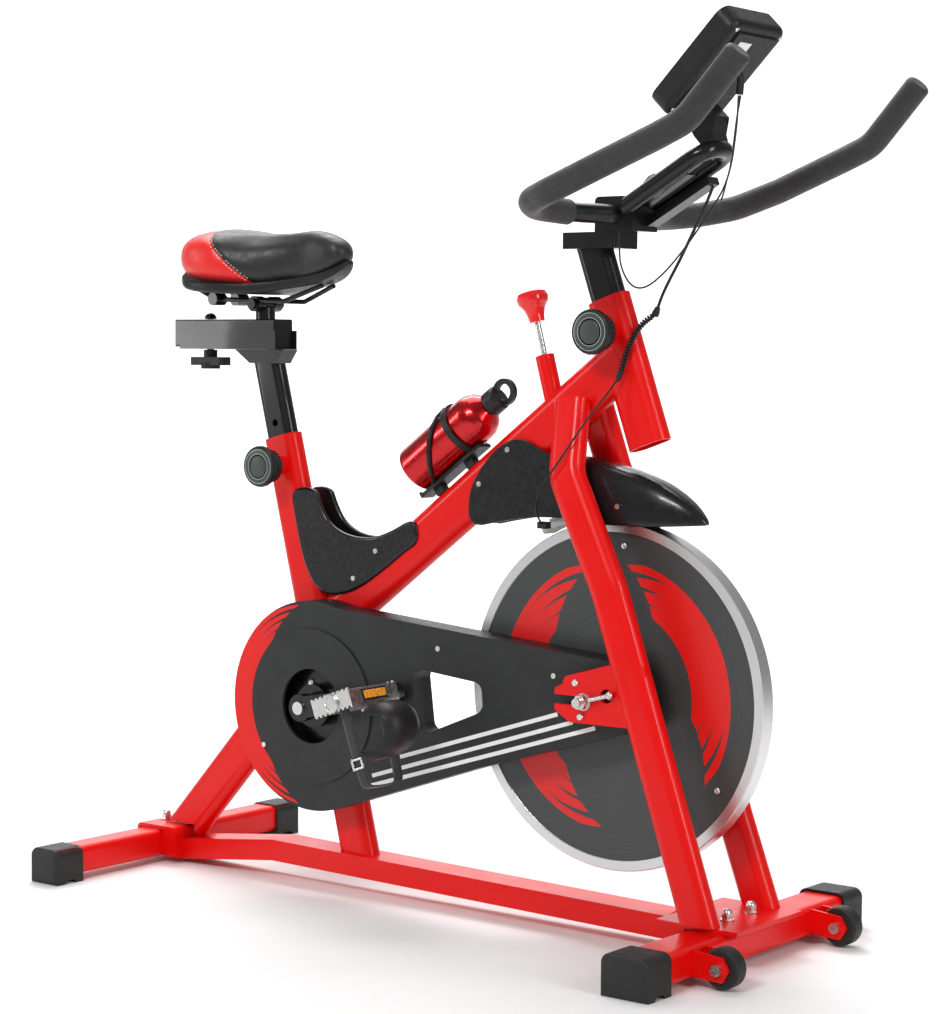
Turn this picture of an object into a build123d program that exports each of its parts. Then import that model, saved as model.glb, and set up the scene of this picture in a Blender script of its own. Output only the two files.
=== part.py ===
from build123d import *
import math
import os

# Indoor spin bike, in millimetres. It is drawn with the flywheel axle at x = 0, the rider facing +X, the
# rider's left at +Y and the floor at z = 0. save() moves every node by SHIFT_X, so that the origin ends up
# at the bottom centre of the whole bike.
SHIFT_X = 257.0

# Driving dimensions of the drive train
AXLE_Z = 314.0                      # flywheel axle height
WHEEL_R, WHEEL_W = 225.0, 24.6      # flywheel radius and rim width
BB_X, BB_Z = -474.0, 262.0          # crank spindle centre
CRANK_LEN, CRANK_DEG = 165.0, 12.0  # crank length, and its angle above the horizontal at rest
BIG_PULLEY_R, SMALL_PULLEY_R = 100.0, 28.0
BELT_Y, BELT_W, BELT_T = -34.0, 14.0, 3.6
PEDAL_TILT = 20.0
ARM_IN, ARM_OUT = 67.0, 83.0        # crank arm faces, distance from the middle plane
PEDAL_IN, PEDAL_OUT = 104.0, 201.0

# Frame tubes: flat oval sections, width by depth
TUBE_WALL = 2.5
SEAT_TUBE, MAIN_TUBE, HEAD_TUBE = (60.0, 32.0), (64.0, 33.0), (60.0, 32.0)
STRUT, LEG, POST = (60.0, 32.0), (50.0, 30.0), (50.0, 25.0)
SEAT_LEAN = 0.254                   # seat tube set-back per mm of height
SEAT_FOOT_X, SEAT_FOOT_Z, SEAT_TOP_Z = -433.0, 56.0, 632.0
HEAD_LOW, HEAD_TOP = (46.0, 637.0), (-20.0, 823.0)
MAIN_LOW, MAIN_HIGH = (-512.0, 352.0), (8.0, 746.0)
STRUT_LOW, STRUT_HIGH = (-790.0, 25.0), (-500.0, 341.0)
LEG_POINTS = [(-58, 24, 692), (-45, 54, 598), (30, 65, 458), (179, 72, 43)]
BRAKE_DIR = (-0.268, 0.9634)        # brake rod direction in XZ, radial to the flywheel

# Floor members
BASE_POINTS = [(-772, 19), (-577, 42), (122, 30)]
BASE_W, BASE_H = 50.0, 30.0
HALF_WIDTH = 256.0                  # end of the stabilizer caps
REAR_BAR = (-802.0, 54.0, 50.0)     # x centre, cap width, cap height
REAR_BOLT_X = -812.0
FRONT_BAR = (187.0, 68.0, 52.0)
CAP_LEN = 52.0
ROLLER_X, ROLLER_Y, ROLLER_Z, ROLLER_R, ROLLER_W = 254.0, 140.0, 27.2, 25.0, 22.0

# Seat
SLIDE_Z0, SLIDE_Z1, SLIDE_Y = 757.4, 797.4, 20.0
SLIDE_X0, SLIDE_X1 = -774.0, -581.0
PILLAR_X, PILLAR_R, PIVOT_Z = -614.0, 14.0, 819.0
CLAMP_BOLT_X = -722.0
PIN_Z = {"seat": 591.0, "head": 780.0}
PIN_FACE = 66.0                     # distance of the knob's face from the middle plane

# Handlebar
BAR_R, FOAM_R, LOOP_R = 12.5, 16.2, 11.0
BAR_SIDE = [(6, 30, 928), (-22, 90, 929), (-30, 146, 932), (-8, 188, 937), (36, 212, 946), (98, 219, 967),
            (195, 217, 1004), (234, 217, 1020), (299, 214, 1090)]
HUB_Z0, HUB_Z1 = 907.0, 951.0

# Console slab: its rider face leans forward by 45 degrees
CONSOLE_HALF_W, CONSOLE_T = 60.0, 32.0
CONSOLE_LOW, CONSOLE_LEN = (76.0, 1066.0), 151.0

# Bottle on the main tube
BOTTLE_BASE, BOTTLE_DIR = (-334.0, 592.0), (0.806, 0.592)
BOTTLE_R = 34.0


def save(shape, node):
    os.makedirs("parts", exist_ok=True)
    export_step(Pos(SHIFT_X, 0, 0) * shape, f"parts/{node}.step")


def block(x0, x1, y0, y1, z0, z1):
    return Pos((x0 + x1) / 2, (y0 + y1) / 2, (z0 + z1) / 2) * Box(x1 - x0, y1 - y0, z1 - z0)


def rod(start, end, radius):
    start, end = Vector(*start), Vector(*end)
    return extrude(Plane(origin=start, z_dir=end - start) * Circle(radius), (end - start).length)


def rod_y(x, z, y0, y1, radius):
    return rod((x, y0, z), (x, y1, z), radius)


def plate(points, y0, y1, radius=0.0):
    """Flat plate with its outline in the XZ plane, between two values of y; its corners are rounded."""
    face = make_face(Polyline(*points, close=True))
    if radius:
        face = fillet(face.vertices(), radius)
    return extrude(Plane.XZ.offset(-y1) * face, y1 - y0)


def oval_bar(start, end, size):
    """Flat-oval bar in the middle plane, from one (x, z) to another, wide across its length."""
    start, end = Vector(start[0], 0, start[1]), Vector(end[0], 0, end[1])
    along = (end - start).normalized()
    plane = Plane(origin=start, x_dir=Vector(0, 1, 0).cross(along), z_dir=along)
    return extrude(plane * SlotOverall(*size), (end - start).length)


def thinner(size, wall=TUBE_WALL):
    return size[0] - 2 * wall, size[1] - 2 * wall


def oval_tube(start, end, size):
    return oval_bar(start, end, size) - oval_bar(start, end, thinner(size))


def seat_x(z):
    """x of the seat tube's centre line at height z."""
    return SEAT_FOOT_X - SEAT_LEAN * (z - SEAT_FOOT_Z)


def head_x(z):
    """x of the head tube's centre line at height z."""
    share = (z - HEAD_LOW[1]) / (HEAD_TOP[1] - HEAD_LOW[1])
    return HEAD_LOW[0] + share * (HEAD_TOP[0] - HEAD_LOW[0])


def brake_at(radius, y=0.0):
    """Point on the brake rod's axis at a distance from the flywheel axle."""
    return radius * BRAKE_DIR[0], y, AXLE_Z + radius * BRAKE_DIR[1]


def mirrored(shape):
    return mirror(shape, about=Plane.XZ)


def both(shape):
    return shape + mirrored(shape)


def ring_y(x, z, y0, y1, outer, inner):
    return rod_y(x, z, y0, y1, outer) - rod_y(x, z, y0 - 1, y1 + 1, inner)


def arc_radii(points):
    """Largest tangent arcs that the runs of a route allow."""
    pts = [Vector(*p) for p in points]
    radii = []
    for a, b, c in zip(pts, pts[1:], pts[2:]):
        turn = math.radians((b - a).get_angle(c - b))
        radii.append(0.45 * min((b - a).length, (c - b).length) / math.tan(turn / 2))
    return radii


def cord(points, diameter, name):
    radii = arc_radii(points)
    path = FilletPolyline(*points, radius=radii)
    tube = sweep(Plane(origin=path @ 0, z_dir=path % 0) * Circle(diameter / 2), path=path)
    section = math.pi * diameter ** 2 / 4
    print(name, "length", round(path.length, 1), "volume ratio", round(tube.volume / (section * path.length), 4),
          "radii", [round(r) for r in radii])
    return tube


# ---- Frame weldment -------------------------------------------------------------------------------------
SEAT_OUT = oval_bar((seat_x(40), 40), (seat_x(SEAT_TOP_Z), SEAT_TOP_Z), SEAT_TUBE)
HEAD_OUT = oval_bar(HEAD_LOW, HEAD_TOP, HEAD_TUBE)
MAIN_OUT = oval_bar(MAIN_LOW, MAIN_HIGH, MAIN_TUBE)
STRUT_OUT = oval_bar(STRUT_LOW, STRUT_HIGH, STRUT)


def pin_boss(x, z):
    return ring_y(x, z, -35, -12, 13, 6.06)


def base_outline(grow=0.0):
    """Solid outer shape of the bent base tube."""
    half = BASE_H / 2 + grow
    (x0, z0), (x1, z1), (x2, z2) = BASE_POINTS
    outline = [(x0, z0 - half), (x1, z1 - half), (x2, z2 - half), (x2, z2 + half), (x1, z1 + half),
               (x0, z0 + half)]
    return plate(outline, -BASE_W / 2 - grow, BASE_W / 2 + grow)


def seat_tube():
    tube = SEAT_OUT - oval_bar((seat_x(30), 30), (seat_x(700), 700), thinner(SEAT_TUBE))
    tube = tube - base_outline() - rod_y(seat_x(PIN_Z["seat"]), PIN_Z["seat"], -40, 0, 6.06)
    inside = oval_bar((seat_x(30), 30), (seat_x(700), 700), thinner(SEAT_TUBE))
    boss = pin_boss(seat_x(PIN_Z["seat"]), PIN_Z["seat"]) - inside
    return tube - rod_y(BB_X, BB_Z, -36, 36, 22) + boss + ring_y(BB_X, BB_Z, -36, 36, 22, 17.5)


def head_tube():
    bore = oval_bar((head_x(600), 600), (head_x(860), 860), thinner(HEAD_TUBE))
    boss = pin_boss(head_x(PIN_Z["head"]), PIN_Z["head"]) - bore
    return HEAD_OUT - bore - rod_y(head_x(PIN_Z["head"]), PIN_Z["head"], -40, 0, 6.06) + boss


def main_tube():
    tube = MAIN_OUT - oval_bar(MAIN_LOW, MAIN_HIGH, thinner(MAIN_TUBE)) - SEAT_OUT - HEAD_OUT
    guide_bore = rod(brake_at(300), brake_at(480), 8.0)
    guide = rod(brake_at(324), brake_at(452), 12.5)
    return tube - guide + (guide - guide_bore)


def rear_strut():
    strut = oval_tube(STRUT_LOW, STRUT_HIGH, STRUT)
    return strut - SEAT_OUT - MAIN_OUT - base_outline() - block(-860, -740, -60, 60, -10, 57)


def base_tube():
    inner = plate([(x, z + s * (BASE_H / 2 - TUBE_WALL)) for s in (-1, 1) for x, z in BASE_POINTS[::-s]],
                  -BASE_W / 2 + TUBE_WALL, BASE_W / 2 - TUBE_WALL)
    tube = base_outline() - inner
    x0 = REAR_BAR[0] - 23.0
    saddle = block(x0 - 6, x0 + 72, -42, 42, 10, 54) - block(x0 - 0.2, x0 + 46.2, -60, 60, -1, 48.1)
    saddle = fillet(saddle.edges().filter_by(Axis.Y).group_by(Axis.Z)[-1], 8)
    rear = saddle - base_outline() - rod((REAR_BOLT_X, 0, 40), (REAR_BOLT_X, 0, 60), 4.3)
    flat = block(114, 232, -78, 78, 48.1, 54.1)
    for y in (-28, 28):
        flat = flat - rod((FRONT_BAR[0], y, 40), (FRONT_BAR[0], y, 60), 4.3)
    web = plate([(92, 44), (122, 44), (122, 55), (110, 55)], -24, 24)
    plate_part = flat + (web - base_outline())
    return tube + rear + (plate_part - base_outline())


def leg_path():
    return FilletPolyline(*[(x, -y, z) for x, y, z in LEG_POINTS], radius=[70, 160])


def fork_leg(size):
    path = leg_path()
    along = path % 0
    across = Vector(0, 1, 0).cross(along)
    return sweep(Plane(origin=path @ 0, x_dir=across, z_dir=along) * SlotOverall(*size), path=path)


def leg_bore():
    """Hollow of the leg's long straight run; the short bent top is solid."""
    (x0, y0, z0), (x1, y1, z1) = LEG_POINTS[-2:]
    start, end = Vector(x0, -y0, z0), Vector(x1, -y1, z1)
    along = (end - start).normalized()
    plane = Plane(origin=start + along * 75, x_dir=Vector(0, 1, 0).cross(along), z_dir=along)
    return extrude(plane * SlotOverall(*thinner(LEG)), (end - start).length)


def dropout():
    outline = [(-30, 344), (46, 366), (92, 366), (92, 287), (-22, 286), (-46, 300), (-46, 328), (-34, 334)]
    ear = plate(outline, -75, -69, 5)
    slot = block(-60, 0, -80, -60, AXLE_Z - 6.1, AXLE_Z + 6.1) + rod_y(0, AXLE_Z, -80, -60, 6.1)
    return ear - slot - rod_y(34, 324, -80, -60, 9)


def fork_legs():
    solid = fork_leg(LEG)
    leg = solid - leg_bore() - MAIN_OUT - block(100, 260, -120, 0, 0, 54.2)
    leg = leg + (dropout() - solid)
    return both(leg)


# ---- Floor members --------------------------------------------------------------------------------------
def floor_bar(x, width, depth_z0, z1, half):
    bar = block(x - width / 2, x + width / 2, -half, half, depth_z0, z1)
    bar = fillet(bar.edges().filter_by(Axis.Y), 9)
    bore = block(x - width / 2 + 2.5, x + width / 2 - 2.5, -half - 1, half + 1, depth_z0 + 2.5, z1 - 2.5)
    return bar - fillet(bore.edges().filter_by(Axis.Y), 6.5)


def front_stabilizer():
    x = FRONT_BAR[0]
    bar = floor_bar(x, 60, 9, 48, HALF_WIDTH - 6)
    ears = []
    for side in (-1, 1):
        for face in (ROLLER_W / 2 + 1.2, -ROLLER_W / 2 - 5.2):
            y = side * ROLLER_Y + face
            outline = [(x + 28, 14), (ROLLER_X + 6, 12), (ROLLER_X + 15, ROLLER_Z), (ROLLER_X + 6, 42), (x + 28, 46)]
            ears.append(plate(outline, y, y + 4, 3) - rod_y(ROLLER_X, ROLLER_Z, y - 1, y + 5, 4.2))
    solid = block(x - 30, x + 30, -HALF_WIDTH, HALF_WIDTH, 9, 48)
    for ear in ears:
        bar = bar + (ear - solid)
    for y in (-28, 28):
        bar = bar - rod((x, y, 0), (x, y, 60), 4.3)
    return bar


def rear_stabilizer():
    bar = floor_bar(REAR_BAR[0], 46, 9, 48, HALF_WIDTH - 6)
    return bar - rod((REAR_BOLT_X, 0, 0), (REAR_BOLT_X, 0, 60), 4.3)


def end_cap(x, width, height, bar_width):
    cap = block(x - width / 2, x + width / 2, -HALF_WIDTH, -HALF_WIDTH + CAP_LEN, 0, height)
    cap = fillet(cap.edges().filter_by(Axis.Y).group_by(Axis.Z)[-1], 12)
    cap = fillet(cap.edges().group_by(Axis.Y)[0], 6)
    socket = block(x - bar_width / 2 - 0.1, x + bar_width / 2 + 0.1, -HALF_WIDTH + 6, 0, 8.9, 48.1)
    arch = block(x - width, x + width, -HALF_WIDTH + 18, -HALF_WIDTH + 38, -1, 5)
    return cap - socket - fillet(arch.edges().filter_by(Axis.X).group_by(Axis.Z)[-1], 4)


def stabilizer_caps():
    caps = end_cap(REAR_BAR[0], REAR_BAR[1], REAR_BAR[2], 46) + end_cap(FRONT_BAR[0], FRONT_BAR[1], FRONT_BAR[2], 60)
    return both(caps)


def acorn_bolt(x, y, z_low, z_seat):
    """Carriage bolt from below with a washer and a domed nut on top."""
    nut = extrude(Pos(x, y, z_seat + 1.6) * RegularPolygon(7.5, 6), 7)
    dome = Pos(x, y, z_seat + 8.6) * Sphere(6.5) - block(x - 9, x + 9, y - 9, y + 9, z_seat - 9, z_seat + 8.6)
    washer = rod((x, y, z_seat), (x, y, z_seat + 1.6), 9)
    return rod((x, y, z_low), (x, y, z_seat + 4), 4) + rod((x, y, z_low - 3), (x, y, z_low), 9) + washer + nut + dome


def frame_bolts():
    group = [acorn_bolt(FRONT_BAR[0], y, 8.9, 54.2) for y in (-28, 28)]
    group.append(acorn_bolt(REAR_BOLT_X, 0, 8.9, 54.1))
    for side in (-1, 1):
        y0, y1 = side * ROLLER_Y - ROLLER_W / 2 - 5.3, side * ROLLER_Y + ROLLER_W / 2 + 5.3
        shank = rod_y(ROLLER_X, ROLLER_Z, y0 - 2, y1 + 2, 4)
        group.append(shank + rod_y(ROLLER_X, ROLLER_Z, y0 - 6, y0, 7) + rod_y(ROLLER_X, ROLLER_Z, y1, y1 + 6, 7))
    return Compound(children=group)


def roller(side):
    y = side * ROLLER_Y
    tyre = rod_y(ROLLER_X, ROLLER_Z, y - ROLLER_W / 2, y + ROLLER_W / 2, ROLLER_R)
    tyre = fillet(tyre.edges(), 4)
    return tyre - rod_y(ROLLER_X, ROLLER_Z, y - 20, y + 20, 4.06)


# ---- Drive train ----------------------------------------------------------------------------------------
def flywheel():
    disc = rod_y(0, AXLE_Z, -WHEEL_W / 2, WHEEL_W / 2, WHEEL_R)
    disc = chamfer(disc.edges(), 1.0)
    for side in (-1, 1):
        y = side * WHEEL_W / 2
        recess = rod_y(0, AXLE_Z, y - 1.6, y + 1.6, WHEEL_R - 13) - rod_y(0, AXLE_Z, y - 2, y + 2, 34)
        disc = disc - recess
    return disc - rod_y(0, AXLE_Z, -40, 40, 17.56)


def flywheel_axle():
    return rod_y(0, AXLE_Z, -94, 94, 6)


def bearings():
    rings = [ring_y(0, AXLE_Z, y - 5, y + 5, 17.5, 6.01) for y in (-6.5, 6.5)]
    rings += [ring_y(BB_X, BB_Z, y - 5, y + 5, 17.49, 8.56) for y in (-30, 30)]
    return Compound(children=rings)


def axle_hardware():
    group = []
    for side in (-1, 1):
        for y0, y1, size in ((75.2, 77.0, 11), (61.0, 68.8, 9)):
            lo, hi = sorted((side * y0, side * y1))
            group.append(ring_y(0, AXLE_Z, lo, hi, size, 6.01))
        start = Vector(0, side * 77.1, AXLE_Z)
        nut = extrude(Plane(origin=start, x_dir=(1, 0, 0), z_dir=(0, side, 0)) * RegularPolygon(10, 6), 9)
        group.append(nut - rod_y(0, AXLE_Z, -100, 100, 6.01))
        inner = extrude(Plane(origin=(0, side * 18, AXLE_Z), z_dir=(0, side, 0)) * Circle(10), 4)
        group.append(inner - rod_y(0, AXLE_Z, -100, 100, 6.01))
        draw = rod((12, side * 80.5, 318), (40, side * 80.5, 325.6), 3) + Pos(42.5, side * 80.5, 326.2) * Sphere(5.5)
        group.append(draw)
    return Compound(children=group)


def flywheel_pulley():
    y0, y1 = BELT_Y - BELT_W / 2 - 2, BELT_Y + BELT_W / 2 + 2
    wheel = rod_y(0, AXLE_Z, y0, -WHEEL_W / 2, 19) + rod_y(0, AXLE_Z, y0, y1, SMALL_PULLEY_R)
    for y in (y0, y1 - 1.5):
        wheel = wheel + rod_y(0, AXLE_Z, y, y + 1.5, SMALL_PULLEY_R + 5)
    return wheel - rod_y(0, AXLE_Z, -60, 0, 10.5)


def crank_pulley():
    y0, y1 = BELT_Y - BELT_W / 2 - 1, BELT_Y + BELT_W / 2 + 1
    wheel = rod_y(BB_X, BB_Z, y0, y1, BIG_PULLEY_R)
    for y in (y0 - 1, y1 + 1):
        wheel = wheel - (rod_y(BB_X, BB_Z, y - 5, y + 5, 84) - rod_y(BB_X, BB_Z, y - 6, y + 6, 30))
    hub = rod_y(BB_X, BB_Z, y0 - 14, y0 + 1, 30)
    return (wheel + hub) - rod_y(BB_X, BB_Z, -38, 0, 22.5) - rod_y(BB_X, BB_Z, -80, 0, 8.52)


def drive_belt():
    dx, dz = -BB_X, AXLE_Z - BB_Z
    span = math.hypot(dx, dz)
    tilt = math.atan2(dz, dx)
    lean = math.asin((BIG_PULLEY_R - SMALL_PULLEY_R) / span)

    def loop(extra):
        r1, r2 = BIG_PULLEY_R + extra, SMALL_PULLEY_R + extra
        up, down = tilt + math.pi / 2 - lean, tilt - math.pi / 2 + lean
        corners = [(BB_X + r1 * math.cos(up), BB_Z + r1 * math.sin(up)), (r2 * math.cos(up), AXLE_Z + r2 * math.sin(up)),
                   (r2 * math.cos(down), AXLE_Z + r2 * math.sin(down)),
                   (BB_X + r1 * math.cos(down), BB_Z + r1 * math.sin(down))]
        y0, y1 = BELT_Y - BELT_W / 2, BELT_Y + BELT_W / 2
        return plate(corners, y0, y1) + rod_y(BB_X, BB_Z, y0, y1, r1) + rod_y(0, AXLE_Z, y0, y1, r2)

    return loop(0.35 + BELT_T) - loop(0.35)


def pedal_axis():
    angle = math.radians(CRANK_DEG)
    return BB_X + CRANK_LEN * math.cos(angle), BB_Z + CRANK_LEN * math.sin(angle)


def crank_spindle():
    bolts = [rod_y(BB_X, BB_Z, lo, hi, 9) for lo, hi in ((-87, -83.05), (83.05, 87))]
    return rod_y(BB_X, BB_Z, -85, 85, 8.5) + bolts[0] + bolts[1]


def crank_arms():
    px, pz = pedal_axis()
    along = Vector(px - BB_X, 0, pz - BB_Z).normalized()
    side = Vector(-along.Z, 0, along.X)
    corners = [(BB_X, BB_Z, 15), (px, pz, 12)]
    outline = [(x + s * w * side.X, z + s * w * side.Z) for s, pair in ((1, corners), (-1, corners[::-1]))
               for x, z, w in pair]
    arm = plate(outline, -ARM_OUT, -ARM_IN) + rod_y(BB_X, BB_Z, -ARM_OUT, -ARM_IN, 19) \
        + rod_y(px, pz, -ARM_OUT, -ARM_IN, 14)
    arm = arm - rod_y(BB_X, BB_Z, -90, -60, 8.52) - rod_y(px, pz, -90, -60, 7.02)
    other = Pos(BB_X, 0, BB_Z) * Rot(0, 180, 0) * Pos(-BB_X, 0, -BB_Z) * mirrored(arm)
    return Compound(children=[arm, other])


def opposite(shape):
    """The left side's copy of a right side part, hanging the same way on the opposite crank."""
    px, pz = pedal_axis()
    return Pos(2 * (BB_X - px), 0, 2 * (BB_Z - pz)) * mirrored(shape)


def pedal_spindles():
    px, pz = pedal_axis()
    pin = rod_y(px, pz, -PEDAL_OUT + 6, -ARM_IN + 1, 7) - rod_y(px, pz, -PEDAL_OUT, -ARM_OUT - 3, 8) \
        + rod_y(px, pz, -PEDAL_OUT + 6, -ARM_OUT - 3, 6) + rod_y(px, pz, -ARM_OUT - 5, -ARM_OUT - 0.1, 9)
    return Compound(children=[pin, opposite(pin)])


def at_pedal(shape):
    px, pz = pedal_axis()
    return Pos(px, 0, pz) * Rot(0, -PEDAL_TILT, 0) * shape


def pedal():
    cage = block(-34, 34, -PEDAL_OUT, -PEDAL_IN, -13, 13)
    cage = fillet(cage.edges().filter_by(Axis.Y), 3)
    for x0, x1 in ((-28, -12), (12, 28)):
        cage = cage - block(x0, x1, -PEDAL_OUT + 7, -PEDAL_IN - 7, -20, 20)
    barrel = rod_y(0, 0, -PEDAL_OUT - 4, -PEDAL_IN + 6, 13)
    return at_pedal(cage + barrel - rod_y(0, 0, -PEDAL_OUT + 2, 0, 6.06))


def toe_cage():
    outer = [(34.5, 13), (84, -6), (84, -60), (64, -82), (8, -84), (8, -80), (62, -78), (80, -58), (80, -9), (34.5, 8)]
    shell = plate(outer, -PEDAL_OUT + 22, -PEDAL_IN - 14)
    strap = plate([(-6, -14), (6, -14), (12, -84), (20, -108), (8, -120), (-8, -108), (-6, -84)],
                  -PEDAL_OUT + 16, -PEDAL_OUT + 18.5)
    strap = strap + plate([(-6, -14), (6, -14), (12, -84), (20, -108), (8, -120), (-8, -108), (-6, -84)],
                          -PEDAL_IN - 12, -PEDAL_IN - 9.5)
    bridge = block(2, 14, -PEDAL_OUT + 16, -PEDAL_IN - 9.5, -117, -114)
    return at_pedal(shell + strap + bridge)


# ---- Covers ---------------------------------------------------------------------------------------------
GUARD_TOP = [(-430, 401.5), (31, 365), (66, 350), (80, 322), (66, 281)]
GUARD_LOW = [(-179, 208), (-435, 121)]
WINDOW = [(-297, 331), (-182, 320), (-170, 300), (-180, 281), (-285, 238)]


def guard_body(shrink, y0, y1):
    """Teardrop outline of the belt guard, drawn smaller by shrink, between two values of y."""
    outline = GUARD_TOP + GUARD_LOW
    face = make_face(Polyline(*outline, close=True)) + Pos(BB_X, BB_Z) * Circle(146)
    if shrink:
        face = offset(face, amount=-shrink)
    return extrude(Plane.XZ.offset(-y1) * face, y1 - y0)


def guard_window(grow):
    face = offset(make_face(Polyline(*WINDOW, close=True)), amount=grow)
    return extrude(Plane.XZ.offset(70) * fillet(face.vertices(), 14), -60) if grow == 0 else \
        extrude(Plane.XZ.offset(70) * face, -60)


def guard_outer():
    y0, y1 = -57.0, -36.0
    leg_step = [(2.7, 448.2), (151.7, 33.2), (300, 33), (300, 448)]
    inside = guard_body(2.5, y0 + 2.5, y1) - plate([(x - 2.5, z) for x, z in leg_step], -70, -48)
    shell = guard_body(0, y0, y1) - plate(leg_step, -70, -50.6) - (inside - guard_window(2.5))
    shell = shell - guard_window(0) - rod_y(BB_X, BB_Z, -70, -30, 52) - rod_y(0, AXLE_Z, -70, -30, 12)
    disc = ring_y(BB_X, BB_Z, -59.5, -57, 108, 52)
    return shell + disc


def guard_inner():
    y0, y1 = -35.9, -17.5
    shell = guard_body(0, y0, y1) - (guard_body(2.5, y0, y1 - 2.5) - guard_window(2.5))
    shell = shell - guard_window(0) - rod_y(BB_X, BB_Z, -70, 0, 23) - rod_y(0, AXLE_Z, -70, 0, 36)
    return shell - SEAT_OUT - STRUT_OUT - MAIN_OUT


def gusset_covers():
    outline = [(-549, 560), (-503, 564), (-484, 526), (-453, 502), (-410, 494), (-365, 509), (-330, 525),
               (-321, 494), (-365, 463), (-425, 423), (-471, 412.5), (-503, 424), (-526, 465), (-543, 523)]
    face = make_face(Polyline(*outline, close=True))
    face = fillet(face.vertices(), 4)
    solid = extrude(Plane.XZ.offset(0.1) * face, 20.4)
    hollow = extrude(Plane.XZ.offset(0) * offset(face, amount=-2.5), 18.1)
    cover = solid - hollow - SEAT_OUT - MAIN_OUT
    return Compound(children=[cover, mirrored(cover)])


def wedge_of(half, tip_x, tip_half):
    """Plan of what is cut off the hood's right flank, from its full half width to its tip."""
    return [(20, -half), (tip_x, -tip_half), (tip_x, -60), (20, -60)]


def fender():
    outline = [(-118, 624), (-60, 622), (-20, 615), (28, 604), (76, 588), (110, 567), (132, 544), (128, 540),
               (80, 535), (-118, 535)]
    solid = plate(outline, -34, 34)
    solid = fillet(solid.edges().filter_by(Axis.Y).group_by(Axis.Z)[-1], 3)
    tip = plate([(20, 500), (160, 500), (160, 640), (20, 640)], -60, 60)
    wedge = extrude(Plane.XY.offset(500) * make_face(Polyline(*wedge_of(34, 132, 12), close=True)), 200)
    solid = solid - (tip & both(wedge))
    inner = plate([(-130, 618), (-60, 618), (-22, 611), (26, 600), (73, 585), (106, 564), (124, 546), (124, 530),
                   (-130, 530)], -31, 31)
    inner_wedge = extrude(Plane.XY.offset(500) * make_face(Polyline(*wedge_of(31, 128, 9.5), close=True)), 200)
    hood = solid - (inner - (tip & both(inner_wedge)))
    guide = rod(brake_at(200), brake_at(480), 16)
    hood = hood - guide - MAIN_OUT - both(fork_leg(LEG))
    panel = [(-227, 520), (-226, 566), (-217, 590), (-186, 626), (-165, 639), (-138, 640), (-119, 624), (-119, 541),
             (-171, 532)]
    side = plate(panel, -21.5, -17.8, 3) - MAIN_OUT
    return Compound(children=[*hood.solids(), side, mirrored(side)])


SCREWS = [(-164, 626, -21.6), (-211, 579, -21.6), (20, 560, -34.1), (-430, 440, -20.6), (-390, 480, -20.6)]
GUARD_SCREWS = [(-560, 200, -59.6), (-250, 360, -57.1), (-60, 340, -57.1)]


def cover_screws():
    heads = []
    for x, z, y in SCREWS:
        head = rod_y(x, z, y - 1.6, y, 3.6)
        heads += [head, mirrored(head)]
    for x, z, y in GUARD_SCREWS:
        heads.append(rod_y(x, z, y - 1.8, y, 3.6))
    return Compound(children=heads)


def speed_sensor():
    return block(-106, -92, -34, -23, 526, 534.8)


# ---- Brake ----------------------------------------------------------------------------------------------
def brake_pad():
    pad = rod_y(0, AXLE_Z, -13, 13, WHEEL_R + 17) - rod_y(0, AXLE_Z, -14, 14, WHEEL_R + 6.5)
    lean = math.degrees(math.atan2(-BRAKE_DIR[0], BRAKE_DIR[1]))
    rays = [(0, AXLE_Z)] + [(320 * math.sin(math.radians(-a)), AXLE_Z + 320 * math.cos(math.radians(a)))
                            for a in (lean - 13, lean + 13)]
    return pad & plate(rays, -20, 20)


def brake_rod():
    shoe = rod_y(0, AXLE_Z, -14, 14, WHEEL_R + 20) - rod_y(0, AXLE_Z, -15, 15, WHEEL_R + 17.02)
    lean = math.degrees(math.atan2(-BRAKE_DIR[0], BRAKE_DIR[1]))
    rays = [(0, AXLE_Z)] + [(320 * math.sin(math.radians(-a)), AXLE_Z + 320 * math.cos(math.radians(a)))
                            for a in (lean - 9, lean + 9)]
    return (shoe & plate(rays, -20, 20)) + rod(brake_at(WHEEL_R + 18), brake_at(512), 4) \
        + rod(brake_at(400), brake_at(440), 7.9)


def brake_knob():
    start = Vector(*brake_at(497))
    along = Vector(BRAKE_DIR[0], 0, BRAKE_DIR[1])
    profile = [(0, 0), (10, 0), (11, 8), (14, 18), (20, 26), (21.5, 33), (19, 39), (12, 42), (0, 43)]
    knob = revolve(make_face(Polyline(*[(r, 0, h) for r, h in profile], close=True)), Axis.Z)
    plane = Plane(origin=start, z_dir=along)
    return plane.location * knob - rod(brake_at(480), brake_at(512.1), 4.06)


# ---- Seat -----------------------------------------------------------------------------------------------
def seat_post():
    post = oval_tube((seat_x(440), 440), (seat_x(752), 752), POST)
    for k in range(7):
        z = PIN_Z["seat"] + 30 * k - 120
        post = post - rod_y(seat_x(z), z, -40, 0, 5)
    post = post - block(-700, -500, -40, 40, SLIDE_Z0 - 0.4, SLIDE_Z1)
    floor = block(SLIDE_X0 + 12, SLIDE_X1 + 6, -23, 23, SLIDE_Z0 - 2.9, SLIDE_Z0 - 0.4)
    walls = block(SLIDE_X0 + 12, SLIDE_X1 + 6, -23, -20.5, SLIDE_Z0 - 2.9, SLIDE_Z0 + 24)
    gusset = plate([(seat_x(752) - 50, 754.4), (seat_x(752) + 44, 754.4), (seat_x(735) + 26, 735), (seat_x(735) - 26, 735)],
                   -15, 15)
    inner = oval_bar((seat_x(440), 440), (seat_x(760), 760), thinner(POST))
    channel = floor + both(walls) - rod((CLAMP_BOLT_X, 0, 700), (CLAMP_BOLT_X, 0, 790), 5.2)
    return Compound(children=[post + (gusset - inner) + channel, clamp_bolt()])


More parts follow.
